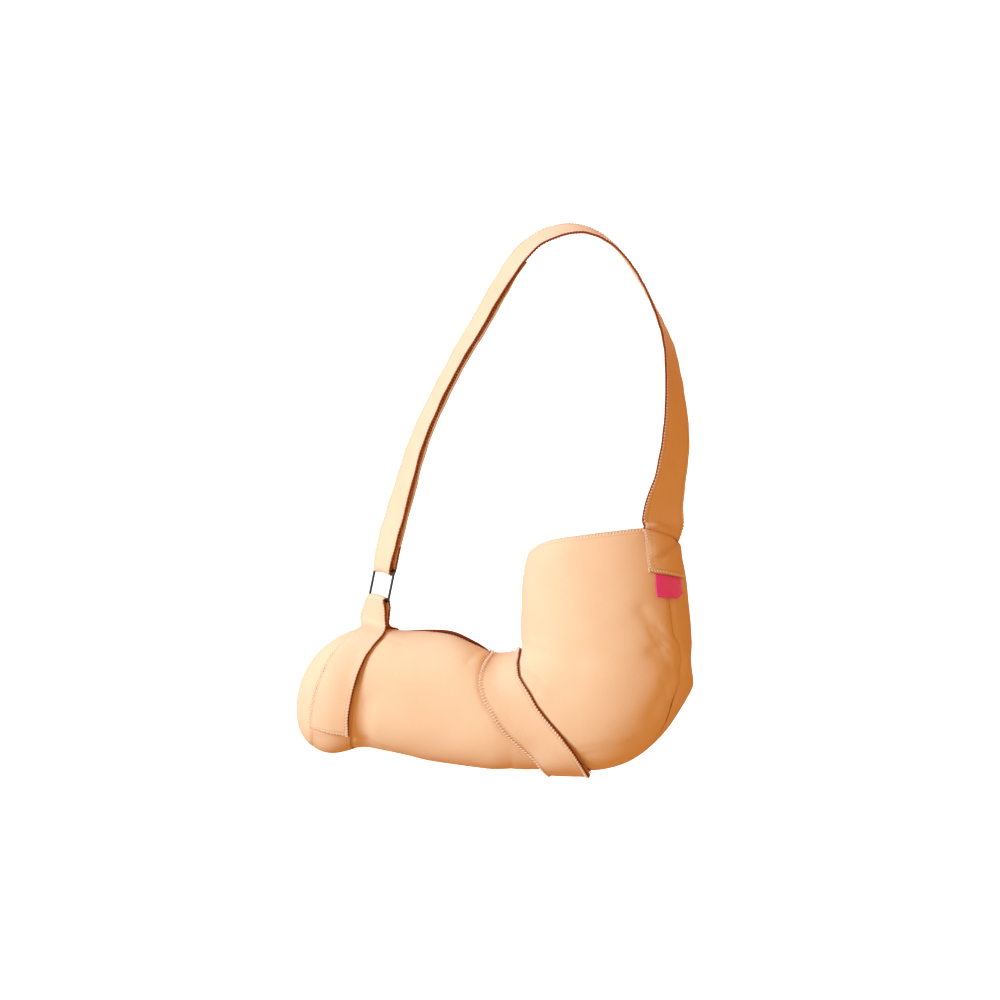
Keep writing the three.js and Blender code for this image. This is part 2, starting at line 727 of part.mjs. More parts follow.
const returnOff = -(strapThick + hookThick + 2 * plyGap);

function shoulderStrap() {
  const count = 3;
  const patch = steps(5).map((share) => patchRow(patchLength * (1 - share), count));
  const outward = steps(loopRows).slice(2, -1).reverse().map((t) => shoulderRow(t, 0, count));
  const sewn = patch.length - 1;
  const rise = bridge(patch[sewn - 1], patch[sewn], outward[0], outward[1], rimBow, 4);
  const turn = turnRows(barHeight, -1, count);
  const back = steps(returnRows).slice(2).map((share) => {
    const t = share * returnShare;
    const settle = THREE.MathUtils.smoothstep(t, 0, widenShare);
    return shoulderRow(t, mix(-2 * turnRadius, returnOff, settle), count);
  });
  return sheet([...patch, ...rise, ...outward, ...turn, ...back], strapThick);
}

// Hidden fastener pads between the plies

function shoulderHookPad() {
  const share = hookLength / shoulderCurve.getLength();
  const rows = steps(3).map((k) => (
    shoulderRow(returnShare - share * (1 + hookInset - k), returnOff / 2, 3)
  ));
  return sheet(rows, hookThick);
}

function labelTab() {
  const top = patchLength + seamGap;
  const lift = bandClear + tabThick / 2;
  const rows = steps(4).map((share) => sleeveRow(top + share * tabLength, tabWidth, lift, 4));
  return sheet(rows, tabThick);
}

// Assembly

const crook = new THREE.Group();

function add(name, geometry, color, roughness = 0.95, metalness = 0) {
  const material = new THREE.MeshStandardMaterial({ color, roughness, metalness });
  const mesh = new THREE.Mesh(geometry, material);
  mesh.name = name;
  crook.add(mesh);
}

add('front_panel', between(panelGrid(true, 0), panelGrid(true, -wall)), clothColour);
add('back_panel', between(panelGrid(false, 0), panelGrid(false, -wall)), clothColour);
add('wrist_strap', wristStrap(), strapColour);
add('elbow_band', elbowBand(), strapColour);
add('shoulder_strap', shoulderStrap(), strapColour);
add('strap_ring', ring(), steelColour, 0.25, 1);
add('label_tab', labelTab(), tabColour, 0.7);
add('wrist_hook_pad', bandHookPad(wristNear, strapWidth), hookColour);
add('elbow_hook_pad', bandHookPad(elbowLine, elbowBandWidth), hookColour);
add('shoulder_hook_pad', shoulderHookPad(), hookColour);

// The strap's highest point, and the way down to its underside
const topShare = steps(400).reduce((best, t) => (
  shoulderCurve.getPoint(t).z > shoulderCurve.getPoint(best).z ? t : best
), 0);
const top = strapFrame(shoulderCurve.getTangent(topShare), faceShare(topShare));
const shoulderRest = shoulderCurve.getPoint(topShare)
  .addScaledVector(top.out, -strapThick / 2);
crook.position.copy(shoulderRest).negate();

const sling = new THREE.Group();
sling.add(crook);

export default sling;
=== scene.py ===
import math

import bmesh
import bpy
import numpy as np
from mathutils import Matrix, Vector
from mathutils.kdtree import KDTree


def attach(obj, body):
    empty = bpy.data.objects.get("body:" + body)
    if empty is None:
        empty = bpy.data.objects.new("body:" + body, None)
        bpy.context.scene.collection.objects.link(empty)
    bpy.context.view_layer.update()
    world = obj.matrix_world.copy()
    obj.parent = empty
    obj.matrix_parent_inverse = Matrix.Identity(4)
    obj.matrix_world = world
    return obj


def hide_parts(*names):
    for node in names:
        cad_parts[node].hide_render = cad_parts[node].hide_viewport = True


# Arm sling of foam laminate cloth in its worn form. Lengths are in millimetres and
# places are taken from the crook of the elbow, as in the CAD part, until a mesh is
# made in metres.

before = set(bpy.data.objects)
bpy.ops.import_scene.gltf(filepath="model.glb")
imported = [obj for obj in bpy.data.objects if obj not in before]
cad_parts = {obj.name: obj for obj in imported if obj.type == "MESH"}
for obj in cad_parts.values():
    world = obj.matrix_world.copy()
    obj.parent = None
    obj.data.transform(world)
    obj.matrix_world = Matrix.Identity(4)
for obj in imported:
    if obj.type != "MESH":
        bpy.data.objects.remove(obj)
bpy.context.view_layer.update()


# Sizes, as in the CAD part

FOREARM_REACH = 210.0
FOREARM_DEPTH = 118.0
FOREARM_WIDTH = 92.0
ELBOW_REACH = 171.0
CROOK_RADIUS = 8.0
SLEEVE_WIDTH = 118.0
SLEEVE_HEIGHT = 109.0
FOREARM_SLANT = math.radians(12)
SLANT_BEND = 40.0
SLANT_FROM = 0.51
TIP_SHARE = 0.28
ROUNDNESS = 2.2
SLIT_WIDTH = 16.0
WALL = 3.0

STRAP_WIDTH = 40.0
STRAP_THICK = 2.6
ELBOW_BAND_WIDTH = 40.0
LOOP_RISE = 306.0
LOOP_LEAN = 62.0
PATCH_LENGTH = 41.0
PATCH_ROUND = 0.112
PATCH_SPREAD = 8.0
SPREAD_SHARE = 0.12
RIM_FACE = 0.82
RING_INNER_WIDTH = 34.5
RING_INNER_HEIGHT = 27.0
RING_WIRE = 2.6
RING_CORNER = 2.4
RING_RISE = 43.0
RING_LEAN = math.radians(11.5)
RING_FACE = 0.54
WRIST_AT = 0.40
WIRE_CLEAR = 0.35
PINCH_DROP = 19.0
PINCH_BOW = 9.0
PINCH_FACE = 0.67
NECK_SHARE = 0.35
NECK_OPEN = 0.85
WIDEN_SHARE = 0.08
RETURN_SHARE = 0.40
HOOK_THICK = 1.0
HOOK_LENGTH = 32.0
HOOK_MARGIN = 3.0
HOOK_INSET = 0.2
TAB_WIDTH = 32.0
TAB_THICK = 1.0

# Clearances of soft cloth that lies on cloth
SEAM_GAP = 0.3
BAND_CLEAR = 0.45
PLY_GAP = 0.25
PLY_STEP = 0.012
PLY_DROP = 0.09
CAD_CLEAR = 1.15
PAD_CLEAR = 0.1      # from the shoulder strap to the pad on it
THINNED_CLEAR = 0.5  # from that pad's outer face to the middle of the thinned ply

# The worn cloth, where it differs from the CAD part
TAB_LENGTH = 21.0
RIM_BOW = 5.0        # how far the shoulder strap runs on over the rim before it rises
LEFT_SPREAD = 6.0    # how much wider its left half is at the sewn end
PRESS = 2.0          # depth that the bands sink into the pouch
PRESS_EDGE = 2.0     # how far inside their edges the full depth starts
PRESS_SPREAD = 3.5   # length over which the pouch bulges up beside them
UNDER_END = (0.88, 0.94)  # round the pouch, where a band goes under its free end
EDGE_LIFT = 0.9      # how far the bands' right edges stand off
RIM_CREASE = 3.0     # how far below the rim the shoulder strap is creased
RIM_CREASE_DEPTH = 2.4
PLEAT_FROM = np.array([5.0, -15.0])  # ends of the pleat below it: down and across
PLEAT_TO = np.array([28.0, 12.0])
PLEAT_DEPTH = 1.7
FRAY_LENGTH = 90.0   # length over which the folded-back end thins out
CLOSING_SHARE = 0.225  # share of that ply over which it comes down to the strap
EDGE_DROOP = 1.4     # how far a strap's edges sag off a bar of the ring
HEM_DROP = 4.0       # how far the near hem of the mouth hangs down
UNEVEN = 0.22        # height of the pouch's soft waves
UNEVEN_LENGTH = 42   # and their length


def table(names, *rows):
    """Named columns of a short table."""
    return dict(zip(names.split(), np.array(rows, float).T))


# Heights in forearm depths, widths in forearm widths
FOREARM = table(
    "along middle depth width",
    (1.00, -0.585, 0.990, 0.90),
    (0.92, -0.528, 0.990, 0.92),
    (0.83, -0.477, 0.990, 0.92),
    (0.72, -0.412, 0.984, 0.87),
    (0.61, -0.407, 0.998, 0.92),
    (0.50, -0.431, 1.016, 1.00),
    (0.39, -0.448, 1.070, 1.05),
    (0.27, -0.470, 1.086, 1.10),
    (0.16, -0.520, 1.025, 1.15),
    (0.08, -0.556, 0.978, 1.18),
)
# Turn in right angles, reach in elbow reaches, width in sleeve widths
ELBOW = table(
    "turn reach width",
    (0.00, 0.716, 0.93),
    (0.15, 0.738, 0.94),
    (0.30, 0.808, 0.95),
    (0.49, 0.928, 0.96),
    (0.64, 0.980, 0.97),
    (0.75, 1.006, 0.97),
    (0.83, 1.023, 0.98),
    (0.91, 1.000, 0.99),
    (1.00, 1.000, 1.00),
)
SLEEVE = table(
    "up front back width",
    (0.20, 0.002, 0.993, 1.00),
    (0.40, 0.006, 0.982, 1.00),
    (0.60, 0.009, 0.970, 0.99),
    (0.80, 0.022, 0.952, 0.98),
    (1.00, 0.046, 0.928, 0.97),
)
RIM = table(
    "round height",
    (0.000, 0.845),
    (0.080, 0.930),
    (0.165, 1.000),
    (0.297, 0.940),
    (0.390, 0.885),
    (0.500, 0.780),
    (0.620, 0.800),
    (0.750, 0.835),
    (0.900, 0.825),
    (1.000, 0.845),
)
BACK_SEAM = table(
    "at round",
    (0.00, 0.000),
    (0.90, 0.010),
    (1.37, 0.040),
    (1.55, 0.035),
    (1.70, 0.072),
    (1.80, 0.098),
    (1.92, 0.088),
    (2.10, 0.118),
    (3.00, 0.125),
)
TOP_SEAM = table(
    "at round",
    (0.00, 0.500),
    (2.00, 0.505),
    (3.00, 0.550),
)
SLIT = table(
    "at near far",
    (0.48, 0.00, 0.00),
    (0.58, 0.28, 0.20),
    (0.72, 0.62, 0.38),
    (0.84, 0.52, 0.30),
    (0.93, 0.00, 0.00),
)
# Dents and, where the depth is negative, bulges, in forearm depths
FOLDS = table(
    "at round to_at to_round breadth depth",
    (0.94, 0.56, 0.94, 0.42, 0.16, 0.026),
    (0.90, 0.36, 1.10, 0.16, 0.14, 0.022),
    (2.30, 0.19, 2.02, 0.15, 0.06, 0.010),
    (1.97, 0.17, 1.90, 0.10, 0.06, 0.012),
    (1.84, 0.13, 1.70, 0.13, 0.08, 0.010),
    (1.93, 0.06, 1.86, 0.02, 0.08, -0.024),
    (1.38, 0.14, 1.56, 0.11, 0.08, 0.007),
    (2.10, 0.40, 1.90, 0.30, 0.10, 0.014),
    (0.32, 0.06, 0.34, 0.22, 0.09, 0.024),
)
# Creases of the cloth, finer than the dents of the CAD part
CREASES = table(
    "at round to_at to_round breadth depth",
    (2.16, 0.160, 1.98, 0.105, 0.024, 0.0042),
    (2.12, 0.178, 1.95, 0.140, 0.022, 0.0030),
    (2.02, 0.150, 1.93, 0.098, 0.020, 0.0034),
    (1.86, 0.150, 1.78, 0.110, 0.024, 0.0026),
    (1.95, 0.115, 1.86, 0.105, 0.034, -0.0060),
    (1.36, 0.135, 1.58, 0.118, 0.022, 0.0026),
    (1.34, 0.160, 1.50, 0.150, 0.024, 0.0018),
    (2.06, 0.955, 1.90, 0.900, 0.026, 0.0080),
    (1.98, 0.975, 1.82, 0.930, 0.024, 0.0060),
    (1.60, 0.900, 1.40, 0.870, 0.026, 0.0050),
    (1.02, 0.380, 1.30, 0.300, 0.030, 0.0060),
    (1.10, 0.400, 1.45, 0.330, 0.030, 0.0050),
    (1.02, 0.620, 1.30, 0.700, 0.030, 0.0070),
    (1.12, 0.600, 1.50, 0.680, 0.030, 0.0055),
    (0.86, 0.440, 0.80, 0.360, 0.026, 0.0060),
    (0.86, 0.560, 0.80, 0.650, 0.026, 0.0060),
    (0.34, 0.100, 0.42, 0.060, 0.030, 0.0060),
    (0.40, 0.420, 0.50, 0.400, 0.024, 0.0035),
)
WRIST_NEAR = table(
    "round at width",
    (0.160, 0.165, 1.00),
    (0.230, 0.174, 0.98),
    (0.300, 0.220, 0.92),
    (0.350, 0.264, 0.86),
    (0.390, 0.306, 0.82),
    (0.425, 0.342, 0.80),
)
WRIST_FAR = table(
    "round at width",
    (0.550, 0.395, 0.90),
    (0.600, 0.385, 0.94),
    (0.680, 0.350, 0.98),
    (0.780, 0.290, 1.00),
    (0.880, 0.220, 1.00),
    (1.000, 0.180, 1.00),
    (1.120, 0.168, 1.00),
    (1.300, 0.198, 1.00),
)
ELBOW_LINE = table(
    "round at width",
    (-0.015, 1.264, 1.00),
    (0.070, 1.255, 1.04),
    (0.150, 1.216, 1.05),
    (0.220, 1.112, 1.05),
    (0.265, 1.005, 1.08),
    (0.320, 0.948, 1.06),
    (0.380, 0.948, 0.90),
    (0.440, 0.966, 0.74),
    (0.500, 0.973, 0.69),
    (0.570, 0.966, 0.74),
    (0.640, 0.955, 0.92),
    (0.720, 0.990, 1.00),
    (0.790, 1.080, 1.00),
    (0.860, 1.180, 1.00),
    (0.930, 1.255, 1.00),
    (1.000, 1.270, 1.00),
    (1.080, 1.250, 1.00),
)
# Along in spans from ring to rim, up in loop rises, lean in loop leans, and the
# share of the strap's width that faces the front, and more of it in the worn cloth
SHOULDER = table(
    "along up lean face more",
    (0.010, 0.050, 0.03, 0.53, 0.00),
    (0.079, 0.260, 0.14, 0.45, 0.00),
    (0.122, 0.381, 0.24, 0.40, 0.00),
    (0.184, 0.500, 0.36, 0.36, 0.00),
    (0.258, 0.619, 0.49, 0.32, 0.03),
    (0.343, 0.736, 0.63, 0.30, 0.07),
    (0.423, 0.848, 0.76, 0.29, 0.10),
    (0.497, 0.935, 0.87, 0.27, 0.15),
    (0.567, 0.982, 0.94, 0.26, 0.13),
    (0.652, 1.000, 0.99, 0.26, 0.11),
    (0.748, 0.982, 0.99, 0.22, 0.03),
    (0.829, 0.931, 0.95, 0.13, 0.00),
    (0.901, 0.847, 0.87, 0.06, 0.00),
    (0.970, 0.728, 0.76, 0.09, 0.00),
    (1.027, 0.588, 0.60, 0.28, 0.00),
    (1.050, 0.397, 0.38, 0.54, 0.00),
    (1.047, 0.277, 0.25, 0.70, 0.00),
    (1.026, 0.161, 0.13, 0.77, 0.00),
    (1.008, 0.086, 0.06, 0.81, 0.00),
)


# Numbers on arrays

def mix(a, b, share):
    return a + (b - a) * share


def smoothstep(low, high, x):
    t = np.clip((np.asarray(x, float) - low) / (high - low), 0, 1)
    return t * t * (3 - 2 * t)


def unit(v):
    return v / np.maximum(np.linalg.norm(v, axis=-1, keepdims=True), 1e-12)


def dot(a, b):
    return (a * b).sum(-1, keepdims=True)


def steps(count):
    return np.linspace(0, 1, count + 1)


def fade(distance, reach):
    """1 on a line, falling smoothly to 0 beside it."""
    return np.exp(-((distance / reach) ** 2))


def walked(line):
    """Distance gone along rows of points, from the first row to each."""
    strides = np.linalg.norm(np.diff(line, axis=0), axis=-1)
    return np.concatenate([0 * strides[:1], strides.cumsum(axis=0)])


def follow(at, value):
    """Smooth curve through one column, by another column."""
    order = np.arange(len(at))
    before = np.maximum(order - 1, 0)
    after = np.minimum(order + 1, len(at) - 1)
    slope = (value[after] - value[before]) / (at[after] - at[before])

    def place(x):
        x = np.asarray(x, float)
        k = np.clip(np.searchsorted(at, x, side="left") - 1, 0, len(at) - 2)
        span = at[k + 1] - at[k]
        t = np.clip((x - at[k]) / span, 0, 1)
        rise = 3 * t**2 - 2 * t**3
        leave = t * (1 - t) ** 2 * span
        arrive = t**2 * (t - 1) * span
        return mix(value[k], value[k + 1], rise) + leave * slope[k] + arrive * slope[k + 1]

    return place


# The pouch. A place on it is `at`, 0 at the finger tips, 1 at the crook, 2 where
# the sleeve starts and 3 at the rim, and `round`, 0 at the bottom and back, a
# quarter on the near side, a half at the top and front.

forearm_at = np.append(1 - FOREARM["along"], 1)
top_heights = (FOREARM["middle"] + FOREARM["depth"] / 2) * FOREARM_DEPTH
bottom_heights = (FOREARM["middle"] - FOREARM["depth"] / 2) * FOREARM_DEPTH
forearm_top = follow(forearm_at, np.append(top_heights, -CROOK_RADIUS))
forearm_bottom = follow(
    forearm_at, np.append(bottom_heights, -ELBOW["reach"][0] * ELBOW_REACH)
)
elbow_share = follow(ELBOW["turn"], ELBOW["reach"])
sleeve_up = np.append(0, SLEEVE["up"])
sleeve_front = follow(sleeve_up, np.append(0, SLEEVE["front"]))
sleeve_back = follow(sleeve_up, np.append(ELBOW["reach"][-1], SLEEVE["back"]))
half_width = follow(
    np.concatenate([1 - FOREARM["along"], 1 + ELBOW["turn"], 2 + SLEEVE["up"]]),
    np.concatenate([
        FOREARM["width"] * FOREARM_WIDTH / 2,
        ELBOW["width"] * SLEEVE_WIDTH / 2,
        SLEEVE["width"] * SLEEVE_WIDTH / 2,
    ]),
)
rim_height = follow(RIM["round"], RIM["height"])
back_seam = follow(BACK_SEAM["at"], BACK_SEAM["round"])
top_seam = follow(TOP_SEAM["at"], TOP_SEAM["round"])


def squared(value):
    """Cosine or sine of a section that is squarer than an ellipse."""
    return np.sign(value) * np.abs(value) ** (2 / ROUNDNESS)


def tip_rounding(at):
    left = np.clip(1 - at / TIP_SHARE, 0, 1)
    return (1 - left**ROUNDNESS) ** (1 / ROUNDNESS)


def slant_shift(x):
    """Shift towards the body that slants the forearm."""
    ahead = SLANT_FROM * ELBOW_REACH - x
    return (ahead + np.hypot(ahead, SLANT_BEND)) / 2 * math.tan(FOREARM_SLANT)


def smooth_pouch(at, round_):
    """Points on the pouch without its folds."""
    at, round_ = np.broadcast_arrays(
        np.clip(np.asarray(at, float), 0, 3), np.asarray(round_, float)
    )
    turn = 2 * np.pi * round_
    shrink = tip_rounding(at)
    angle = np.clip(at - 1, 0, 1) * np.pi / 2
    elbow_reach = elbow_share(at - 1) * ELBOW_REACH

    def by_part(forearm, elbow, sleeve):
        return np.select([at <= 1, at <= 2], [forearm, elbow], sleeve)

    ahead = (at - 1) * FOREARM_REACH
    sleeve_in = CROOK_RADIUS + sleeve_front(at - 2) * ELBOW_REACH
    inner_x = by_part(ahead, CROOK_RADIUS * np.sin(angle), sleeve_in)
    outer_x = by_part(ahead, elbow_reach * np.sin(angle), sleeve_back(at - 2) * ELBOW_REACH)
    inner_z = by_part(forearm_top(at), -CROOK_RADIUS * np.cos(angle), 0.0)
    outer_z = by_part(forearm_bottom(at), -elbow_reach * np.cos(angle), 0.0)
    share = (1 + squared(np.cos(turn)) * shrink) / 2
    x = mix(inner_x, outer_x, share)
    y = slant_shift(x) - squared(np.sin(turn)) * shrink * half_width(at)
    rise = np.maximum(at - 2, 0) * rim_height(round_ - np.floor(round_)) * SLEEVE_HEIGHT
    z = np.where(at > 2, rise, mix(inner_z, outer_z, share))
    return np.stack([x, y, z], -1)


def pouch_frame(at, round_):
    """Directions along and round the pouch at places, and the way out."""
    at, round_ = np.broadcast_arrays(np.asarray(at, float), np.asarray(round_, float))
    step = 0.004
    start = np.maximum(at - step, 0.002)
    end = np.minimum(at + step, 3)
    along = smooth_pouch(end, round_) - smooth_pouch(start, round_)
    along /= (end - start)[..., None]
    held = np.maximum(at, step)
    around = smooth_pouch(held, round_ + step) - smooth_pouch(held, round_ - step)
    around /= 2 * step
    return along, around, unit(np.cross(along, around))


def fold_depth(points, folds):
    """How deep the folds of a table dent the cloth at points."""
    depth = np.zeros(points.shape[:-1])
    starts = smooth_pouch(folds["at"], folds["round"])
    ends = smooth_pouch(folds["to_at"], folds["to_round"])
    rows = zip(starts, ends, folds["breadth"], folds["depth"])
    for start, end, breadth, deep in rows:
        way = end - start
        share = np.clip((points - start) @ way / (way @ way), 0, 1)
        away = np.linalg.norm(points - start - share[..., None] * way, axis=-1)
        depth += deep * FOREARM_DEPTH * fade(away, breadth * FOREARM_DEPTH)
    return depth


def waves(points, length, seed):
    """Soft even noise of about that wave length, from -1 to 1."""
    random = np.random.default_rng(seed)
    total = np.zeros(points.shape[:-1])
    count = 7
    for _ in range(count):
        way = unit(random.normal(size=3)) * 2 * np.pi / (length * random.uniform(0.7, 1.5))
        total += np.sin(points @ way + random.uniform(0, 2 * np.pi))
    return total / count**0.5


def band_line(line, start, end, count):
    """Places down the middle of a band, with its width there as a share."""
    round_ = mix(start, end, steps(count))
    at, width = (follow(line["round"], line[key])(round_) for key in ("at", "width"))
    return at, round_, width


def press_rows():
    """Points down the middle of the bands, half widths there and how hard they lie on."""
    near = band_line(WRIST_NEAR, WRIST_NEAR["round"][0], WRIST_NEAR["round"][-1], 120)
    far = band_line(WRIST_FAR, WRIST_FAR["round"][0], 1.17, 300)
    elbow = band_line(ELBOW_LINE, ELBOW_LINE["round"][0], 1.0, 500)
    under_end = smoothstep(*UNDER_END, far[1]) - smoothstep(1.12, 1.17, far[1])
    in_crook = 1 - smoothstep(0.04, 0.12, np.abs(elbow[1] - 0.5))
    hard = np.concatenate([
        1 - smoothstep(0.30, 0.40, near[1]),
        smoothstep(0.56, 0.66, far[1]) + 0.5 * under_end,
        1 + 0.6 * in_crook,
    ])
    bands = ((near, STRAP_WIDTH), (far, STRAP_WIDTH), (elbow, ELBOW_BAND_WIDTH))
    middles = np.vstack([smooth_pouch(at, round_) for (at, round_, _), _ in bands])
    halves = np.concatenate([share * width / 2 for (_, _, share), width in bands])
    return middles, halves, hard


press_middles, press_halves, press_hard = press_rows()
press_tree = KDTree(len(press_middles))
for k, spot in enumerate(press_middles):
    press_tree.insert(spot, k)
press_tree.balance()


def pressed(points):
    """How far the bands press the pouch in at points."""
    found = [press_tree.find(spot)[1:] for spot in points.reshape(-1, 3)]
    index = np.array([k for k, _ in found])
    away = np.array([distance for _, distance in found])
    inside = press_halves[index] - away
    depth = PRESS * press_hard[index] * smoothstep(-PRESS_SPREAD, PRESS_EDGE, inside)
    return depth.reshape(points.shape[:-1])


def pouch(at, round_, lift, crinkle=True):
    """Points on the folded pouch, raised over the cloth by a lift."""
    points = smooth_pouch(at, round_)
    out = pouch_frame(at, round_)[2]
    down = fold_depth(points, FOLDS)
    if crinkle:
        down = down + fold_depth(points, CREASES) + pressed(points)
        down = down + UNEVEN * waves(points, UNEVEN_LENGTH, 3)
    return points + out * (lift - down)[..., None]


def walk(at, round_, direction, distance):
    """Places reached by going over the pouch from places in a direction."""
    at, round_, distance = np.broadcast_arrays(at, round_, distance)
    count = max(1, math.ceil(np.abs(distance).max() / 1.5))
    stride = distance / count
    way = np.broadcast_to(direction, at.shape + (3,))
    for _ in range(count):
        along, around, out = pouch_frame(at, round_)
        way = unit(way - out * dot(way, out))
        aa, rr, ar = dot(along, along), dot(around, around), dot(along, around)
        a, r = dot(way, along), dot(way, around)
        scale = stride[..., None] / (aa * rr - ar * ar)
        at = np.clip(at + (scale * (a * rr - r * ar))[..., 0], 0.01, 3)
        round_ = round_ + (scale * (r * aa - a * ar))[..., 0]
    return at, round_


# Shoulder strap's line

Y, Z = np.eye(3)[1:]


def strap_frame(way, face):
    """Across and outward directions of a strap that runs in directions."""
    way = unit(np.asarray(way, float))
    face = np.asarray(face, float)[..., None]
    inside = unit(np.cross(Y, way))
    nearer = unit(np.cross(inside, way))
    edge = np.sqrt(np.maximum(1 - face**2, 0))
    return inside * face + nearer * edge, nearer * face - inside * edge


ring_up = np.array([math.sin(RING_LEAN), 0, math.cos(RING_LEAN)])
ring_across, ring_out = strap_frame(ring_up, RING_FACE)
ring_middle = smooth_pouch(WRIST_AT, 0.5) + Z * RING_RISE
bar_height = (RING_INNER_HEIGHT + RING_WIRE) / 2
neck_width = RING_INNER_WIDTH + RING_WIRE - 2 * RING_CORNER
turn_radius = RING_WIRE / 2 + WIRE_CLEAR + STRAP_THICK / 2
ring_top = ring_middle + ring_up * bar_height + ring_out * turn_radius


def sleeve_rows(downs, places, lift, crinkle=True):
    """Rows of points on the sleeve, round it, at distances down from the rim."""
    downs = np.asarray(downs, float)
    at, round_ = walk(np.full(downs.shape, 3.0), np.full(downs.shape, PATCH_ROUND), -Z, downs)
    around = pouch_frame(at, round_)[1]
    at, round_ = walk(at[:, None], round_[:, None], around[:, None], places)
    return pouch(at, round_, lift + np.zeros(at.shape), crinkle)


cad_rim = sleeve_rows(
    [0.0], (STRAP_WIDTH + PATCH_SPREAD) * np.array([[-0.5, 0.5]]), CAD_CLEAR + STRAP_THICK / 2,
    crinkle=False,
)
rim_point = cad_rim[0].mean(0)
loop_knots = np.vstack([
    ring_top,
    mix(ring_top, rim_point, SHOULDER["along"][:, None])
    + Z * (SHOULDER["up"] * LOOP_RISE)[:, None]
    + Y * (SHOULDER["lean"] * LOOP_LEAN)[:, None],
    rim_point,
])
knot_steps = steps(len(SHOULDER["face"]) + 1)
face_share = follow(knot_steps, np.concatenate([[RING_FACE], SHOULDER["face"], [RIM_FACE]]))
worn_more = follow(knot_steps, np.concatenate([[0], SHOULDER["more"], [0]]))


def loop_line(t):
    """Points on the smooth curve through the loop's knots."""
    t = np.asarray(t, float) * (len(loop_knots) - 1)
    knots = np.vstack([
        2 * loop_knots[0] - loop_knots[1], loop_knots, 2 * loop_knots[-1] - loop_knots[-2],
    ])
    k = np.clip(np.floor(t).astype(int), 0, len(loop_knots) - 2)
    share = (t - k)[..., None]
    p0, p1, p2, p3 = (knots[k + n] for n in range(4))
    d0, d1, d2 = (
        np.linalg.norm(b - a, axis=-1, keepdims=True) ** 0.5
        for a, b in ((p0, p1), (p1, p2), (p2, p3))
    )
    leave = ((p1 - p0) / d0 - (p2 - p0) / (d0 + d1) + (p2 - p1) / d1) * d1
    arrive = ((p2 - p1) / d1 - (p3 - p1) / (d1 + d2) + (p3 - p2) / d2) * d1
    return (
        p1 + leave * share
        + (3 * (p2 - p1) - 2 * leave - arrive) * share**2
        + (2 * (p1 - p2) + leave + arrive) * share**3
    )


def loop_way(t):
    t = np.asarray(t, float)
    return unit(loop_line(np.minimum(t + 1e-3, 1)) - loop_line(np.maximum(t - 1e-3, 0)))


top_t = steps(400)[loop_line(steps(400))[:, 2].argmax()]
top_out = strap_frame(loop_way(top_t), face_share(top_t))[1]
CROOK = -(loop_line(top_t) - top_out * STRAP_THICK / 2)


def to_frame(points):
    """From millimetres round the crook to metres in the row's frame."""
    return (np.asarray(points) + CROOK) * 0.001


# Meshes

# Places of a rounded edge's rows, as shares of the cloth's thickness
EDGE_ROWS = (1 - np.cos(steps(4)[1:] * np.pi / 2)) / 2
PITCH = 2.0
STRAP_COLUMNS = 15


def quads(index):
    """Corners of the faces between the points of a numbered grid."""
    near, far = index[..., :-1, :], index[..., 1:, :]
    corners = near[..., :-1], far[..., :-1], far[..., 1:], near[..., 1:]
    return np.stack(corners, -1).reshape(-1, 4)


def hoops(path, side, up, radius, count):
    """Points on round hoops about the points of a path."""
    turn = steps(count)[:-1, None] * 2 * np.pi
    away = side[..., None, :] * np.cos(turn) + up[..., None, :] * np.sin(turn)
    return path[..., None, :] + away * radius


def placed(name, data):
    """An object of a mesh, a lamp or a camera, put into the scene."""
    thing = bpy.data.objects.new(name, data)
    bpy.context.scene.collection.objects.link(thing)
    return thing


def smooth_object(name, points, faces, material):
    """A smooth object of one material, from points in metres."""
    mesh = bpy.data.meshes.new(name)
    mesh.from_pydata(points.tolist(), [], faces)
    mesh.shade_smooth()
    mesh.materials.append(material)
    return placed(name, mesh)


def sling_piece(name, points, faces, material, maps=None):
    """Piece from points in millimetres, with the maps of its cloth in metres."""
    piece = smooth_object(name, to_frame(points), faces, material)
    mesh = piece.data
    corner = np.empty(len(mesh.loops), int)
    mesh.loops.foreach_get("vertex_index", corner)
    for title, flat in (maps or {}).items():
        layer = mesh.uv_layers.new(name=title)
        layer.data.foreach_set("uv", (flat[corner] * 0.001).ravel())
    cleaned = bmesh.new()
    cleaned.from_mesh(mesh)
    bmesh.ops.remove_doubles(cleaned, verts=cleaned.verts, dist=2e-6)
    bmesh.ops.dissolve_degenerate(cleaned, edges=cleaned.edges, dist=1e-6)
    bmesh.ops.recalc_face_normals(cleaned, faces=cleaned.faces)
    cleaned.to_mesh(mesh)
    cleaned.free()
    mesh.shade_smooth()
    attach(piece, "root")
    return piece


def grid_normals(grid):
    down = np.gradient(grid, axis=0)
    over = np.gradient(grid, axis=1)
    return unit(np.cross(down, over))


def arc_map(grid):
    """Lengths across and along a grid, for the cloth's map."""
    middle = grid.shape[1] // 2
    across = walked(grid.swapaxes(0, 1)).T
    across -= across[:, middle, None]
    along = walked(grid[:, middle])[:, None]
    return np.stack([across, np.broadcast_to(along, across.shape)], -1)


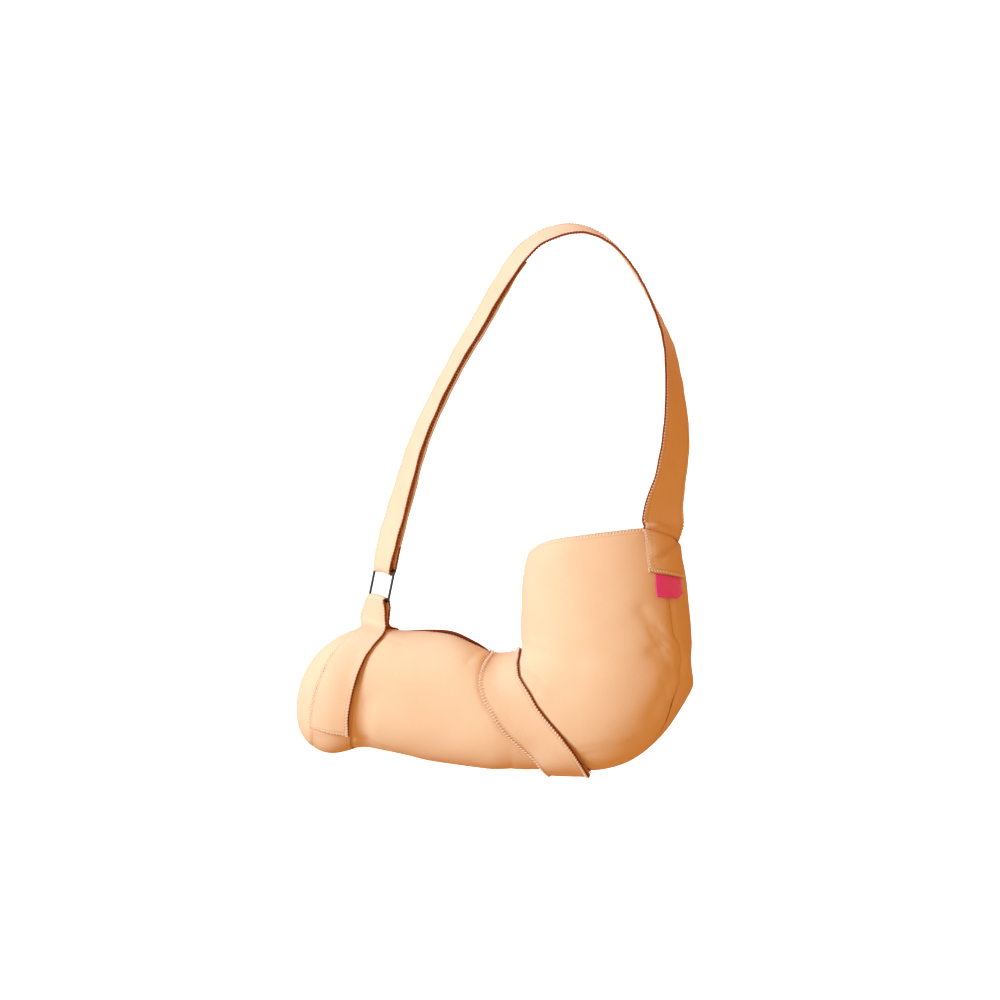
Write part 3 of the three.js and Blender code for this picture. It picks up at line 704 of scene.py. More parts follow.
def cloth_mesh(name, grid, thickness, profile, edges, material, normals=None):
    """Closed cloth about a grid; where the profile is 0 its two faces meet."""
    rows, cols = grid.shape[:2]
    normals = grid_normals(grid) if normals is None else normals
    half = (np.broadcast_to(profile, (rows, cols)) * thickness / 2)[..., None]
    front = np.arange(rows * cols).reshape(rows, cols)
    inner = np.ones((rows, cols), bool)
    inner[[0, -1], :] = False
    inner[:, [0, -1]] = False
    back = front.copy()
    back[inner] = rows * cols + np.arange(inner.sum())
    points = np.vstack([(grid + normals * half).reshape(-1, 3), (grid - normals * half)[inner]])
    # The edge map holds a distance to a line of painted shade and a distance to the nearest edge.
    maps = {
        title: np.vstack([flat.reshape(-1, 2), flat[inner]])
        for title, flat in (("cloth", arc_map(grid)), ("edge", edges))
    }
    faces = quads(front).tolist() + quads(back)[:, ::-1].tolist()
    return sling_piece(name, points, faces, material, maps)


def edge_profile(away, radius):
    """Share of the full thickness at a distance from a rounded edge."""
    left = np.clip(1 - np.asarray(away, float) / radius, 0, 1)
    return np.sqrt(1 - left**2)


def between_edges(length, thickness, count):
    """Distances along a length, close together at its rounded ends."""
    turned = thickness * EDGE_ROWS
    body = np.linspace(turned[-1], length - turned[-1], count)
    return np.concatenate([[0], turned[:-1], body, length - turned[:-1][::-1], [length]])


def across_places(width, thickness=STRAP_THICK, count=STRAP_COLUMNS):
    """Places across a strap, from its middle line."""
    return between_edges(width, thickness, count) - width / 2


def spread(length, thickness, pitch):
    """Distances along a length at about a pitch, with rounded ends."""
    return between_edges(length, thickness, max(3, round((length - thickness) / pitch)))


def resample(grid, thickness):
    """The grid's rows moved to an even pitch along it, and how far along they are."""
    run = walked(grid[:, grid.shape[1] // 2])
    wanted = spread(run[-1], thickness, PITCH)
    out = np.empty((len(wanted),) + grid.shape[1:])
    for j in range(grid.shape[1]):
        for axis in range(3):
            out[:, j, axis] = follow(run, grid[:, j, axis])(wanted)
    return out, wanted


def plain_piece(name, grid, thickness, run, places, material, normals=None):
    """Cloth or tape with rounded edges and ends, about a grid."""
    from_end = np.minimum(run, run[-1] - run)[:, None]
    nearest = np.minimum(places[-1] - np.abs(places), from_end)
    profile = edge_profile(nearest, thickness / 2)
    edges = np.stack([nearest, nearest], -1)
    return cloth_mesh(name, grid, thickness, profile, edges, material, normals)


# Thread

STITCH_PITCH = 3.0
STITCH_REACH = 3.5
STITCH_GAP = 0.8
THREAD_RADIUS = 0.6
THREAD_SIDES = 5
THREAD_ENDS = np.array([0.45, 1, 1, 0.45])[:, None, None]


def stitch_places(line, *fields):
    """Points at an even pitch along a line, the way it runs and its fields there."""
    run = walked(line)
    wanted = np.arange(STITCH_PITCH / 2, run[-1], STITCH_PITCH)
    points = np.stack([np.interp(wanted, run, line[:, k]) for k in range(3)], -1)
    place = wanted / run[-1] * (len(line) - 1)
    low = np.clip(np.floor(place).astype(int), 0, len(line) - 2)
    part = (place - low)[:, None]
    there = [unit(mix(field[low], field[low + 1], part)) for field in fields]
    return points, unit(np.gradient(points, axis=0)), *there


def overlock(edge, inward, normal, thickness):
    """Paths of thread along the edge of a cloth, on both faces, leaning along it."""
    points, way, inward, normal = stitch_places(edge, inward, normal)
    lean = STITCH_PITCH * 0.45
    # In from the edge, out from the face and along the edge
    shape = (
        (STITCH_REACH, 0.02, lean),
        (STITCH_REACH * 0.62, 0.17, lean * 0.6),
        (1.30, 0.15, 0.10),
        (0.65, -0.25, 0.0),
    )
    paths = [
        np.stack([
            points + inward * a + (normal * (thickness / 2 + n) + way * w) * side
            for a, n, w in shape
        ], 1)
        for side in (1, -1)
    ]
    return np.concatenate(paths), np.concatenate([normal, normal])


def run_stitch(line, normal):
    """Paths of a straight row of stitches along a line."""
    points, way, normal = stitch_places(line, normal)
    half = (STITCH_PITCH - STITCH_GAP) / 2
    shape = ((-half, -0.15), (-half * 0.5, 0.12), (half * 0.5, 0.12), (half, -0.15))
    return np.stack([points + way * w + normal * n for w, n in shape], 1), normal


def thread_piece(name, rows):
    """One piece of short threads, from rows of paths and the cloth's way out there."""
    paths, normal = (np.concatenate(part) for part in zip(*rows))
    way = unit(np.gradient(paths, axis=1))
    side = unit(np.cross(way, normal[:, None]))
    up = unit(np.cross(side, way))
    points = hoops(paths, side, up, THREAD_RADIUS * THREAD_ENDS, THREAD_SIDES)
    index = np.arange(points[..., 0].size).reshape(points.shape[:-1])
    faces = quads(np.pad(index, ((0, 0), (0, 0), (0, 1)), "wrap"))[:, ::-1].tolist()
    faces += index[:, 0, ::-1].tolist() + index[:, -1].tolist()
    piece = smooth_object(name, to_frame(points.reshape(-1, 3)), faces, THREAD)
    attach(piece, "root")
    return piece


# Finishes

class Wire:
    """A socket; expressions on it add Math nodes to its material."""

    def __init__(self, tree, socket):
        self.tree = tree
        self.socket = socket

    def __add__(self, other):
        return maths(self.tree, "ADD", self, other)

    def __sub__(self, other):
        return maths(self.tree, "SUBTRACT", self, other)

    def __rsub__(self, other):
        return maths(self.tree, "SUBTRACT", other, self)

    def __mul__(self, other):
        return maths(self.tree, "MULTIPLY", self, other)

    __radd__ = __add__
    __rmul__ = __mul__

    def __abs__(self):
        return maths(self.tree, "ABSOLUTE", self)

    def wave(self, length):
        """Sine along a length, from 0 to 1."""
        return maths(self.tree, "SINE", self * (2 * math.pi / length)) * 0.5 + 0.5

    def ramp(self, low, high):
        """0 to 1 as it goes from low to high, and even beyond them."""
        inputs = {0: self, 1: low, 2: high}
        return add_node(self.tree, "ShaderNodeMapRange", None, inputs)


def add_node(tree, kind, settings=None, inputs=None, output=0):
    """A node of a type with its settings, and the values or links of its sockets."""
    node = tree.nodes.new(kind)
    for key, value in (settings or {}).items():
        setattr(node, key, value)
    for key, value in (inputs or {}).items():
        if isinstance(value, Wire):
            tree.links.new(value.socket, node.inputs[key])
        else:
            node.inputs[key].default_value = value
    return Wire(tree, node.outputs[output])


def maths(tree, operation, *values):
    return add_node(tree, "ShaderNodeMath", {"operation": operation}, dict(enumerate(values)))


def new_material(name, shader):
    """A material and its nodes, with the even values of its main shader."""
    material = bpy.data.materials.new(name)
    material.use_nodes = True
    for key, value in shader.items():
        material.node_tree.nodes["Principled BSDF"].inputs[key].default_value = value
    return material, material.node_tree


def noise(tree, vector, scale, detail=3.0, roughness=0.55):
    inputs = {"Vector": vector, "Scale": scale, "Detail": detail, "Roughness": roughness}
    return add_node(tree, "ShaderNodeTexNoise", None, inputs)


def blend_colours(tree, share, first, second):
    settings = {"data_type": "RGBA"}
    return add_node(tree, "ShaderNodeMix", settings, {0: share, 6: first, 7: second}, 2)


def lengths(tree, title):
    """The two lengths of one of the cloth's maps, in millimetres, and both at once."""
    flat = add_node(tree, "ShaderNodeUVMap", {"uv_map": title})
    settings = {"operation": "SCALE"}
    flat = add_node(tree, "ShaderNodeVectorMath", settings, {0: flat, "Scale": 1000.0})
    first, second = (add_node(tree, "ShaderNodeSeparateXYZ", None, {0: flat}, k) for k in (0, 1))
    return first, second, flat


def object_place(tree):
    return add_node(tree, "ShaderNodeTexCoord", None, None, 3)


def finished(material, links):
    """The material, with wires linked to sockets of its main shader."""
    tree = material.node_tree
    for key, wire in links.items():
        tree.links.new(wire.socket, tree.nodes["Principled BSDF"].inputs[key])
    return material


def surfaced(material, shade, roughness, height, strength, distance):
    """The material, with its colour, roughness and bumps."""
    bump = {"Strength": strength, "Distance": distance, "Height": height}
    normal = add_node(material.node_tree, "ShaderNodeBump", None, bump)
    return finished(material, {"Base Color": shade, "Roughness": roughness, "Normal": normal})


def colour(red, green, blue):
    """Linear colour of a shade given from 0 to 255."""
    return tuple(
        (v / 12.92 if v <= 0.04045 else ((v + 0.055) / 1.055) ** 2.4)
        for v in (red / 255, green / 255, blue / 255)
    ) + (1.0,)


# Brown painted into the cloth. It is painted shade along the straps' sewn right edges, the back
# seam, the far hem and the crease below the rim, and partly painted shade at every edge. It is
# also the needle line of the stitches.
SHADE_AND_NEEDLE_BROWN = colour(136, 54, 14)


def foam_cloth(name, light, deep, needling):
    """Brushed foam laminate: a fine knit face, pebbled and softly mottled, with painted shade
    along marked lines and edges.
    """
    shader = {
        "Sheen Weight": 0.02,
        "Sheen Roughness": 0.45,
        "Sheen Tint": (1.0, 0.80, 0.60, 1.0),
        "Specular IOR Level": 0.03,
    }
    material, tree = new_material(name, shader)
    across, along, flat = lengths(tree, "cloth")
    # The edge map's first length is the distance to a line of painted shade; its second is the
    # distance to the nearest edge.
    side, nearest, _ = lengths(tree, "edge")
    place = object_place(tree)
    wale = across.wave(1.15)
    course = (along + wale * 0.25).wave(0.95)
    knit = wale * 0.55 + course * 0.45
    pebble = noise(tree, flat, 0.55, 2.0)
    fuzz = noise(tree, flat, 2.6, 2.0)
    mottle = noise(tree, place, 26.0, 4.0, 0.6)
    broad = noise(tree, place, 7.0, 2.0)
    tone = mottle * 0.45 + broad * 0.45 + pebble * 0.35 + (1 - knit) * 0.16 - 0.18
    cloth = blend_colours(tree, tone, light, deep)
    # Painted shade: solid brown where the first length is under about 1.5 mm, made ragged by the
    # pebble noise.
    edge_jitter = pebble * 0.5
    painted_edge_shade = (side + edge_jitter).ramp(1.7, 1.1)
    # Brown within about 2 mm of every edge. It is partly the cut edge's own darker tone and partly
    # painted shade where the rounded edge turns from the light.
    edge_tone_and_shade = (nearest + edge_jitter).ramp(2.4, 0.9) * 0.34
    needled = abs(nearest - 4.1).ramp(0.7, 0.2) * (along.wave(3.0) * 0.8 + 0.2) * needling
    shade = blend_colours(tree, maths(tree, "MAXIMUM", painted_edge_shade, edge_tone_and_shade + needled), cloth, SHADE_AND_NEEDLE_BROWN)
    rough = 0.82 + fuzz * 0.14
    height = knit * 0.45 + pebble * 0.9 + fuzz * 0.35
    return surfaced(material, shade, rough, height, 0.22, 0.0004)


def sewing_thread(name, light, deep):
    """Spun thread: fine twisted plies, slightly glossier than the cloth."""
    shader = {"Sheen Weight": 0.15, "Specular IOR Level": 0.3}
    material, tree = new_material(name, shader)
    place = object_place(tree)
    twist = noise(tree, place, 2600.0, 2.0)
    patchy = noise(tree, place, 160.0, 2.0)
    shade = blend_colours(tree, twist * 0.55 + patchy * 0.35, light, deep)
    return surfaced(material, shade, 0.55 + twist * 0.25, twist, 0.4, 0.0002)


def wire_steel(name, light, deep):
    """Bright drawn wire that has darkened: faint draw lines and specks."""
    material, tree = new_material(name, {"Metallic": 1.0})
    place = object_place(tree)
    lines = noise(tree, place, 900.0, 3.0)
    specks = noise(tree, place, 240.0, 4.0)
    shade = blend_colours(tree, specks * 0.6 + lines * 0.4, light, deep)
    return surfaced(material, shade, 0.22 + lines * 0.16, lines, 0.15, 0.0001)


def woven_ribbon(name, light, deep):
    """Satin ribbon of fine twill ribs."""
    shader = {"Sheen Weight": 0.1, "Specular IOR Level": 0.35}
    material, tree = new_material(name, shader)
    across, along, flat = lengths(tree, "cloth")
    twill = (across + along * 0.6).wave(0.7)
    weft = along.wave(0.42)
    fibre = noise(tree, flat, 1.8, 2.0)
    rib = twill * 0.6 + weft * 0.4
    shade = blend_colours(tree, (1 - rib) * 0.35 + fibre * 0.45, light, deep)
    return surfaced(material, shade, 0.45 + fibre * 0.2, rib + fibre * 0.4, 0.35, 0.0003)


def hook_tape(name, light, deep):
    """Moulded tape with rows of small hooks."""
    material, tree = new_material(name, {"Specular IOR Level": 0.35})
    across, along, _ = lengths(tree, "cloth")
    hooks = across.wave(1.4) * along.wave(1.2)
    grime = noise(tree, object_place(tree), 90.0, 3.0)
    shade = blend_colours(tree, hooks * 0.4 + grime * 0.4, light, deep)
    return surfaced(material, shade, 0.5 + grime * 0.2, hooks, 0.8, 0.0008)


def studio_paint(name, shade, glow):
    """Matt pale paint of the floor, with a faint unevenness."""
    shader = {"Specular IOR Level": 0.0, "Roughness": 1.0, "Emission Strength": glow}
    material, tree = new_material(name, shader)
    patches = noise(tree, object_place(tree), 1.2, 2.0)
    pale = blend_colours(tree, patches * 0.5, (shade, shade, shade, 1), (shade * 0.98,) * 3 + (1,))
    return finished(material, {"Base Color": pale, "Emission Color": pale})


POUCH_CLOTH = foam_cloth("pouch_cloth", colour(246, 199, 152), colour(232, 176, 126), 0.42)
STRAP_CLOTH = foam_cloth("strap_cloth", colour(247, 200, 154), colour(230, 173, 124), 0.26)
THREAD = sewing_thread("overlock_thread", colour(255, 226, 190), colour(214, 158, 112))
STEEL = wire_steel("ring_wire", (0.03, 0.027, 0.024, 1), (0.012, 0.011, 0.010, 1))
RIBBON = woven_ribbon("tab_ribbon", colour(250, 12, 128), colour(206, 4, 88))
HOOKS = hook_tape("hook_tape", colour(232, 190, 150), colour(196, 146, 102))


# Pouch panels

hems = {True: follow(SLIT["at"], SLIT["near"]), False: follow(SLIT["at"], SLIT["far"])}
MEAN_RIM = 95.0   # height of the sleeve up to its rim, on the average
ROW_PITCH = 2.2
TIP_ROWS = 34
ELBOW_ROWS = 104
PANEL_COLUMNS = 96
PUCKER_LENGTH = 6.5
SLIT_FROM, SLIT_TO = SLIT["at"][0], SLIT["at"][-1]
FAR_OFF = 99.0    # distance from an edge that shows none of it


def hem_back(at, near):
    """How far a hem draws back from the top seam, as a share of the way round."""
    around = pouch_frame(at, top_seam(at))[1]
    return np.maximum(0, hems[near](at)) * SLIT_WIDTH / np.linalg.norm(around, axis=-1)


def panel_rows():
    """Places along the pouch of a panel's rows, closer together where it rounds."""
    tip = TIP_SHARE * (1 - np.cos(steps(TIP_ROWS) * np.pi / 2))
    forearm = mix(TIP_SHARE, 1, steps(round(FOREARM_REACH * (1 - TIP_SHARE) / ROW_PITCH)))[1:]
    elbow = 1 + steps(ELBOW_ROWS)[1:]
    turned = WALL * EDGE_ROWS / MEAN_RIM
    sleeve = 2 + steps(round(MEAN_RIM / ROW_PITCH))[1:] * (1 - turned[-1])
    return np.concatenate([tip, forearm, elbow, sleeve, 3 - turned[:-1][::-1], [3]])


def panel_grid(near):
    """Middle of a panel's cloth, its profile and rows, and how far its edges and its lines of
    painted shade are.
    """
    at = panel_rows()
    back, top = back_seam(at), top_seam(at)
    start = (back if near else top + hem_back(at, near))[:, None]
    end = (top - hem_back(at, near) if near else back + 1)[:, None]
    line = smooth_pouch(at[:, None], mix(start, end, steps(40)))
    length = np.maximum(walked(line.swapaxes(0, 1))[-1], 1e-3)[:, None]
    turned = np.minimum(WALL * EDGE_ROWS / length, 0.1 * steps(len(EDGE_ROWS))[1:])
    body = mix(turned[:, -1:], 1 - turned[:, -1:], steps(PANEL_COLUMNS))
    first = np.zeros((len(at), 1))
    share = np.hstack([first, turned[:, :-1], body, 1 - turned[:, :-1][:, ::-1], first + 1])
    seam = SEAM_GAP / 2 / length
    share = mix(seam, 1 - seam, share)
    from_start = share * length
    from_end = (1 - share) * length
    from_rim = (3 - at)[:, None] * MEAN_RIM
    from_side = np.minimum(from_start, from_end)
    from_back = from_start if near else from_end
    sink = 0.55 * fade(from_back, 4.0) + 0.35 * fade(from_side, 2.6) + 0.45 * fade(from_rim, 3.0)
    if not near:
        sink = sink + fade(from_back, 6.0)
    grid = pouch(at[:, None], mix(start, end, share), -WALL / 2 - sink)
    if near:
        slack = np.maximum(hems[True](at), 0)[:, None] * fade(from_end, 9)
        grid = grid - Z * (HEM_DROP * slack)[..., None]
    along = arc_map(grid)[..., 1]
    pucker = np.sin(2 * np.pi * along / PUCKER_LENGTH) * fade(from_back, 6)
    grid = grid + grid_normals(grid) * (0.14 * pucker)[..., None]
    grid[0] = smooth_pouch(0, 0)
    profile = edge_profile(np.minimum(from_side, from_rim), WALL / 2)
    profile[0] = 0
    in_slit = (at > SLIT_FROM) & (at < SLIT_TO)
    hem = np.where(in_slit[:, None], from_end if near else from_start, FAR_OFF)
    # Brown line along the back seam. It is the seam's own dark joint, widened into painted shade
    # on the low elbow where the fold lies in shade.
    shaded_low_elbow = smoothstep(1.10, 1.25, at) * (1 - smoothstep(1.75, 1.90, at))
    from_shade_line = from_back * (1 - 0.62 * shaded_low_elbow)[:, None] + 0.35
    # On the far panel, painted shade on the inside of the hem that shows through the mouth.
    if not near:
        from_shade_line = np.minimum(from_shade_line, hem)
    return grid, profile, at, np.stack([from_shade_line, np.minimum(hem, from_rim)], -1)


def panel_cloth(near):
    """One panel of the pouch, with the thread of its rim and of the near hem."""
    name = "front_panel" if near else "back_panel"
    grid, profile, at, edges = panel_grid(near)
    normals = grid_normals(grid)
    row, col = len(at) // 2, grid.shape[1] // 2
    if normals[row, col] @ pouch_frame(at[row], 0.3 if near else 0.8)[2] < 0:
        normals = -normals
    piece = cloth_mesh(f"{name}_cloth", grid, WALL, profile, edges, POUCH_CLOTH, normals)
    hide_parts(name)
    thick = WALL * 0.9
    rows = [overlock(grid[-1], unit(grid[-12] - grid[-1]), normals[-6], thick)]
    if near:
        free = (at > SLIT_FROM + 0.02) & (at < SLIT_TO - 0.02)
        inward = unit(grid[free, -12] - grid[free, -1])
        rows.append(overlock(grid[free, -1], inward, normals[free, -12], thick))
    threads = thread_piece(f"{name}_overlock", rows)


panel_cloth(near=True)
panel_cloth(near=False)


# Bands on the pouch

def band_rows(at, round_, width, places, lifts):
    """Rows of points across a band whose middle line is a row of places."""
    middles = smooth_pouch(at, round_)
    heading = np.gradient(middles, axis=0)
    across = np.cross(heading, pouch_frame(at, round_)[2])
    across *= np.where(across[:, :1] < 0, -1, 1)
    free = smoothstep(0.05, 0.13, np.abs(round_ - 0.5)) * (1 - smoothstep(*UNDER_END, round_))
    at, round_ = walk(at[:, None], round_[:, None], across[:, None], places * width[:, None])
    standing = EDGE_LIFT * free[:, None] * fade(places[-1] - places, 6)
    return pouch(at, round_, np.asarray(lifts)[:, None] + standing)


def eased(grid, passes):
    """Rows of a band evened out along it, with the first and last kept."""
    for _ in range(passes):
        inner = (grid[:-2] + 2 * grid[1:-1] + grid[2:]) / 4
        grid = np.concatenate([grid[:1], inner, grid[-1:]])
    return grid


lower_lift = BAND_CLEAR + STRAP_THICK / 2
upper_lift = BAND_CLEAR + 1.5 * STRAP_THICK + 2 * PLY_GAP + HOOK_THICK
hook_lift = BAND_CLEAR + STRAP_THICK + PLY_GAP + HOOK_THICK / 2


def past_end(line, length):
    """Place round the pouch that lies a length beyond a band's free end."""
    around = pouch_frame(line["at"][0], line["round"][0])[1]
    return line["round"][0] + length / np.linalg.norm(around)


def overlap_end(line):
    """Place round the pouch where a band's two plies stop lying on each other."""
    return past_end(line, HOOK_LENGTH + 2 * HOOK_MARGIN)


def band_lifts(round_, line):
    """Height of a band over the pouch, which steps down at the end of its overlap."""
    down = overlap_end(line) + PLY_STEP
    return mix(upper_lift, lower_lift, smoothstep(down, down + PLY_DROP, round_))


def bridge(before, start, end, after, bow, count):
    """Rows of a smooth stretch of cloth between two rows, each with its next."""
    leave = start + unit(start - before) * bow
    arrive = end + unit(end - after) * bow
    t = steps(count)[1:-1, None, None]
    return (
        (1 - t) ** 3 * start + 3 * (1 - t) ** 2 * t * leave
        + 3 * (1 - t) * t**2 * arrive + t**3 * end
    )


def strap_cloth(
    name, grid, width, seed, bare, plain=0.0, fray=0.0, extra=(),
):
    """A strap's cloth and the thread of its edges, with painted shade along the sewn right edge,
    a bare length at its end and a length at its start, up to the rim, whose edge is plain."""
    grid, run = resample(grid, STRAP_THICK)
    places = across_places(width)
    from_edge = width / 2 - np.abs(places)
    from_end = np.minimum(run, run[-1] - run)[:, None]
    ripple = 0.22 * waves(grid, 17, seed) * fade(from_edge, 5) + 0.16 * waves(grid, 36, seed + 1)
    grid = grid + grid_normals(grid) * (ripple * smoothstep(0, 12, from_end))[..., None]
    normals = grid_normals(grid)
    nearest = np.minimum(from_edge, from_end)
    profile = edge_profile(nearest, STRAP_THICK / 2) * mix(0.84, 1.05, smoothstep(0, 6, nearest))
    if fray:
        profile = profile * smoothstep(-0.4 * fray, fray, run[-1] - run)[:, None]
    sewn = run < run[-1] - bare
    # Painted shade: distance from the right edge along the sewn stretch, so that edge is painted
    # brown; FAR_OFF leaves none.
    right = np.where((sewn & (run > plain))[:, None], places[-1] - places, FAR_OFF)
    # Painted shade in the crease just below the rim, on the right part of the strap.
    if plain:
        off_rim = np.abs(run - plain + RIM_CREASE)[:, None]
        crease_shade = 0.6 + 0.4 * off_rim + 4 * smoothstep(-0.25, 0.45, places / width)
        right = np.minimum(right, crease_shade)
    edges = np.stack([right, nearest], -1)
    piece = cloth_mesh(f"{name}_cloth", grid, STRAP_THICK, profile, edges, STRAP_CLOTH, normals)
    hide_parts(name)
    thick = STRAP_THICK * 0.88
    rows = []
    for col, beside in ((0, 8), (-1, -9)):
        inward = grid[sewn, beside] - grid[sewn, col]
        rows.append(overlock(grid[sewn, col], inward, normals[sewn, beside], thick))
    rows.append(overlock(grid[0], grid[8] - grid[0], normals[8], thick))
    threads = thread_piece(f"{name}_overlock", rows + list(extra))


def wrist_strap():
    """From the free end up to the ring, round it, down and round the far side."""
    places = across_places(STRAP_WIDTH)
    share = places / STRAP_WIDTH
    near_line = band_line(WRIST_NEAR, WRIST_NEAR["round"][0], WRIST_NEAR["round"][-1], 40)
    far_line = band_line(WRIST_FAR, WRIST_FAR["round"][0], 1 + overlap_end(WRIST_NEAR), 110)
    near = band_rows(*near_line, places, band_lifts(near_line[1], WRIST_NEAR))
    far = band_rows(*far_line, places, np.full(len(far_line[0]), lower_lift))
    pinch_off = (STRAP_THICK + PLY_GAP) / 2

    def neck(part, side):
        """Row on one side of the folded strap, between the ring and the pinch."""
        across, out = strap_frame(ring_up, mix(RING_FACE, PINCH_FACE, part))
        width = mix(neck_width, STRAP_WIDTH, np.interp(part, [NECK_SHARE, 1], [NECK_OPEN, 1]))
        height = -bar_height - part * PINCH_DROP
        off = mix(turn_radius, pinch_off, part) * side
        return ring_row(height, off, share, across, out, width)

    parts = np.linspace(NECK_SHARE, 1, 5)
    front = np.array([neck(part, 1) for part in parts[::-1]])
    back = np.array([neck(part, -1) for part in parts])
    loop = turn_rows(-bar_height, 1, share)
    up = bridge(near[-2], near[-1], front[0], front[1], PINCH_BOW, 16)
    down = bridge(back[-2], back[-1], far[0], far[1], PINCH_BOW, 16)
    face = unit(np.cross(front[0][-1] - front[0][0], front[1][0] - front[0][0]))
    pinch = run_stitch(front[0], np.broadcast_to(face, front[0].shape))
    return np.concatenate([near, up, front, loop, back, down, far]), pinch


def ring_row(height, off, share, across=ring_across, out=ring_out, width=neck_width):
    """Row of points across a strap at the ring, off its middle line."""
    return ring_middle + ring_up * height + out * off + across * (share * width)[:, None]


def turn_rows(height, through, share):
    """Rows that turn round a bar of the ring, through its opening."""
    angles = np.linspace(0, np.pi, 15)
    droop = ring_up * (EDGE_DROOP * (2 * share) ** 2)[:, None]
    return np.array([
        ring_row(
            height + through * turn_radius * math.sin(angle),
            turn_radius * math.cos(angle), share,
        ) - droop * math.sin(angle)
        for angle in angles
    ])


def elbow_band():
    """From the free end round the elbow and the crook, and over itself."""
    places = across_places(ELBOW_BAND_WIDTH)
    start = ELBOW_LINE["round"][0]
    line = band_line(ELBOW_LINE, start, 1 + overlap_end(ELBOW_LINE), 260)
    return eased(band_rows(*line, places, band_lifts(line[1], ELBOW_LINE)), 14)


def pad_piece(name, grid, places):
    """A hook pad about a grid."""
    grid, run = resample(grid, HOOK_THICK)
    piece = plain_piece(f"{name}_tape", grid, HOOK_THICK, run, places, HOOKS)
    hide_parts(name)


def hook_pad(name, line, width):
    """Pad between the plies of a band, near its free end."""
    places = across_places(width - 2 * HOOK_MARGIN, HOOK_THICK, 9)
    start, end = (past_end(line, HOOK_MARGIN + length) for length in (0, HOOK_LENGTH))
    middle = band_line(line, start, end, 30)
    pad_piece(name, band_rows(*middle, places, np.full(len(middle[0]), hook_lift)), places)


wrist_grid, pinch_stitches = wrist_strap()
strap_cloth(
    "wrist_strap", wrist_grid, STRAP_WIDTH,
    seed=11, bare=128, extra=[pinch_stitches],
)
strap_cloth(
    "elbow_band", elbow_band(), ELBOW_BAND_WIDTH,
    seed=23, bare=40,
)
hook_pad("wrist_hook_pad", WRIST_NEAR, STRAP_WIDTH)
hook_pad("elbow_hook_pad", ELBOW_LINE, ELBOW_BAND_WIDTH)


# Shoulder strap

def shoulder_rows(ts, off, share):
    """Rows of points across the shoulder strap, raised off its line."""
    across, out = strap_frame(loop_way(ts), face_share(ts) + worn_more(ts))
    width = mix(neck_width, STRAP_WIDTH, smoothstep(0, WIDEN_SHARE, ts))
    wider = PATCH_SPREAD + LEFT_SPREAD * smoothstep(0, 0.5, share)
    width = (width[:, None] + wider * smoothstep(1 - SPREAD_SHARE, 1, ts)[:, None])[..., None]
    line = loop_line(ts)[:, None]
    raised = (out * np.reshape(off, (-1, 1)))[:, None]
    return line + across[:, None] * share[:, None] * width + raised


RETURN_GAP = HOOK_THICK + 0.8
return_off = -(STRAP_THICK + RETURN_GAP)


def patch_fold(downs, places):
    """Lift of the sewn end's pleat: a groove at the rim and one slanting down."""
    down, across = np.broadcast_arrays(downs[:, None], places)
    way = unit(PLEAT_TO - PLEAT_FROM)
    off = np.stack([down, across], -1) - PLEAT_FROM
    along, beside = off @ way, off @ np.array([-way[1], way[0]])
    within = smoothstep(-4, 3, along) * (1 - smoothstep(30, 40, along))
    slanting = -PLEAT_DEPTH * fade(beside, 1.6) + 1.2 * smoothstep(0, 3, beside)
    at_rim = -RIM_CREASE_DEPTH * fade(down - RIM_CREASE, 1.7)
    return slanting * within * smoothstep(2, 6, down) + at_rim


def shoulder_strap():
    """From the sewn end over the shoulder, round the ring and back on itself."""
    places = across_places(STRAP_WIDTH)
    share = places / STRAP_WIDTH
    downs = np.linspace(PATCH_LENGTH, 0, 42)
    spread_out = 1 + PATCH_SPREAD / STRAP_WIDTH * (1 - downs / PATCH_LENGTH)[:, None]
    spread_out = spread_out + LEFT_SPREAD / STRAP_WIDTH * smoothstep(0, 0.5, share)
    patch = sleeve_rows(downs, places * spread_out, lower_lift + patch_fold(downs, places))
    outward = shoulder_rows(np.linspace(45 / 46, 2 / 46, 300), np.zeros(300), share)
    rise = bridge(patch[-2], patch[-1], outward[0], outward[1], RIM_BOW, 10)
    turn = turn_rows(bar_height, -1, share)
    ts = np.linspace(2 / 18, 1, 130) * RETURN_SHARE
    settle = smoothstep(0, WIDEN_SHARE, ts)
    closing = smoothstep(1 - CLOSING_SHARE, 1, ts / RETURN_SHARE)
    gap = mix(return_off, -(STRAP_THICK / 2 + HOOK_THICK + THINNED_CLEAR), closing)
    back = shoulder_rows(ts, mix(-2 * turn_radius, gap, settle), share)
    return np.concatenate([patch, rise, outward, turn, back])


loop_length = walked(loop_line(steps(200)))[-1]
returned_length = RETURN_SHARE * loop_length + 10
strap_cloth(
    "shoulder_strap", shoulder_strap(), STRAP_WIDTH,
    seed=37, bare=returned_length,
    plain=PATCH_LENGTH, fray=FRAY_LENGTH,
)


def shoulder_pad():
    """Pad between the shoulder strap and the end of its folded-back ply."""
    places = across_places(STRAP_WIDTH - 2 * HOOK_MARGIN, HOOK_THICK, 9)
    ts = RETURN_SHARE - HOOK_LENGTH / loop_length * (1 + HOOK_INSET - steps(24))
    off = -(STRAP_THICK / 2 + HOOK_THICK / 2 + PAD_CLEAR)
    grid = shoulder_rows(ts, np.full(len(ts), off), places / STRAP_WIDTH)
    pad_piece("shoulder_hook_pad", grid, places)


shoulder_pad()


# Ring

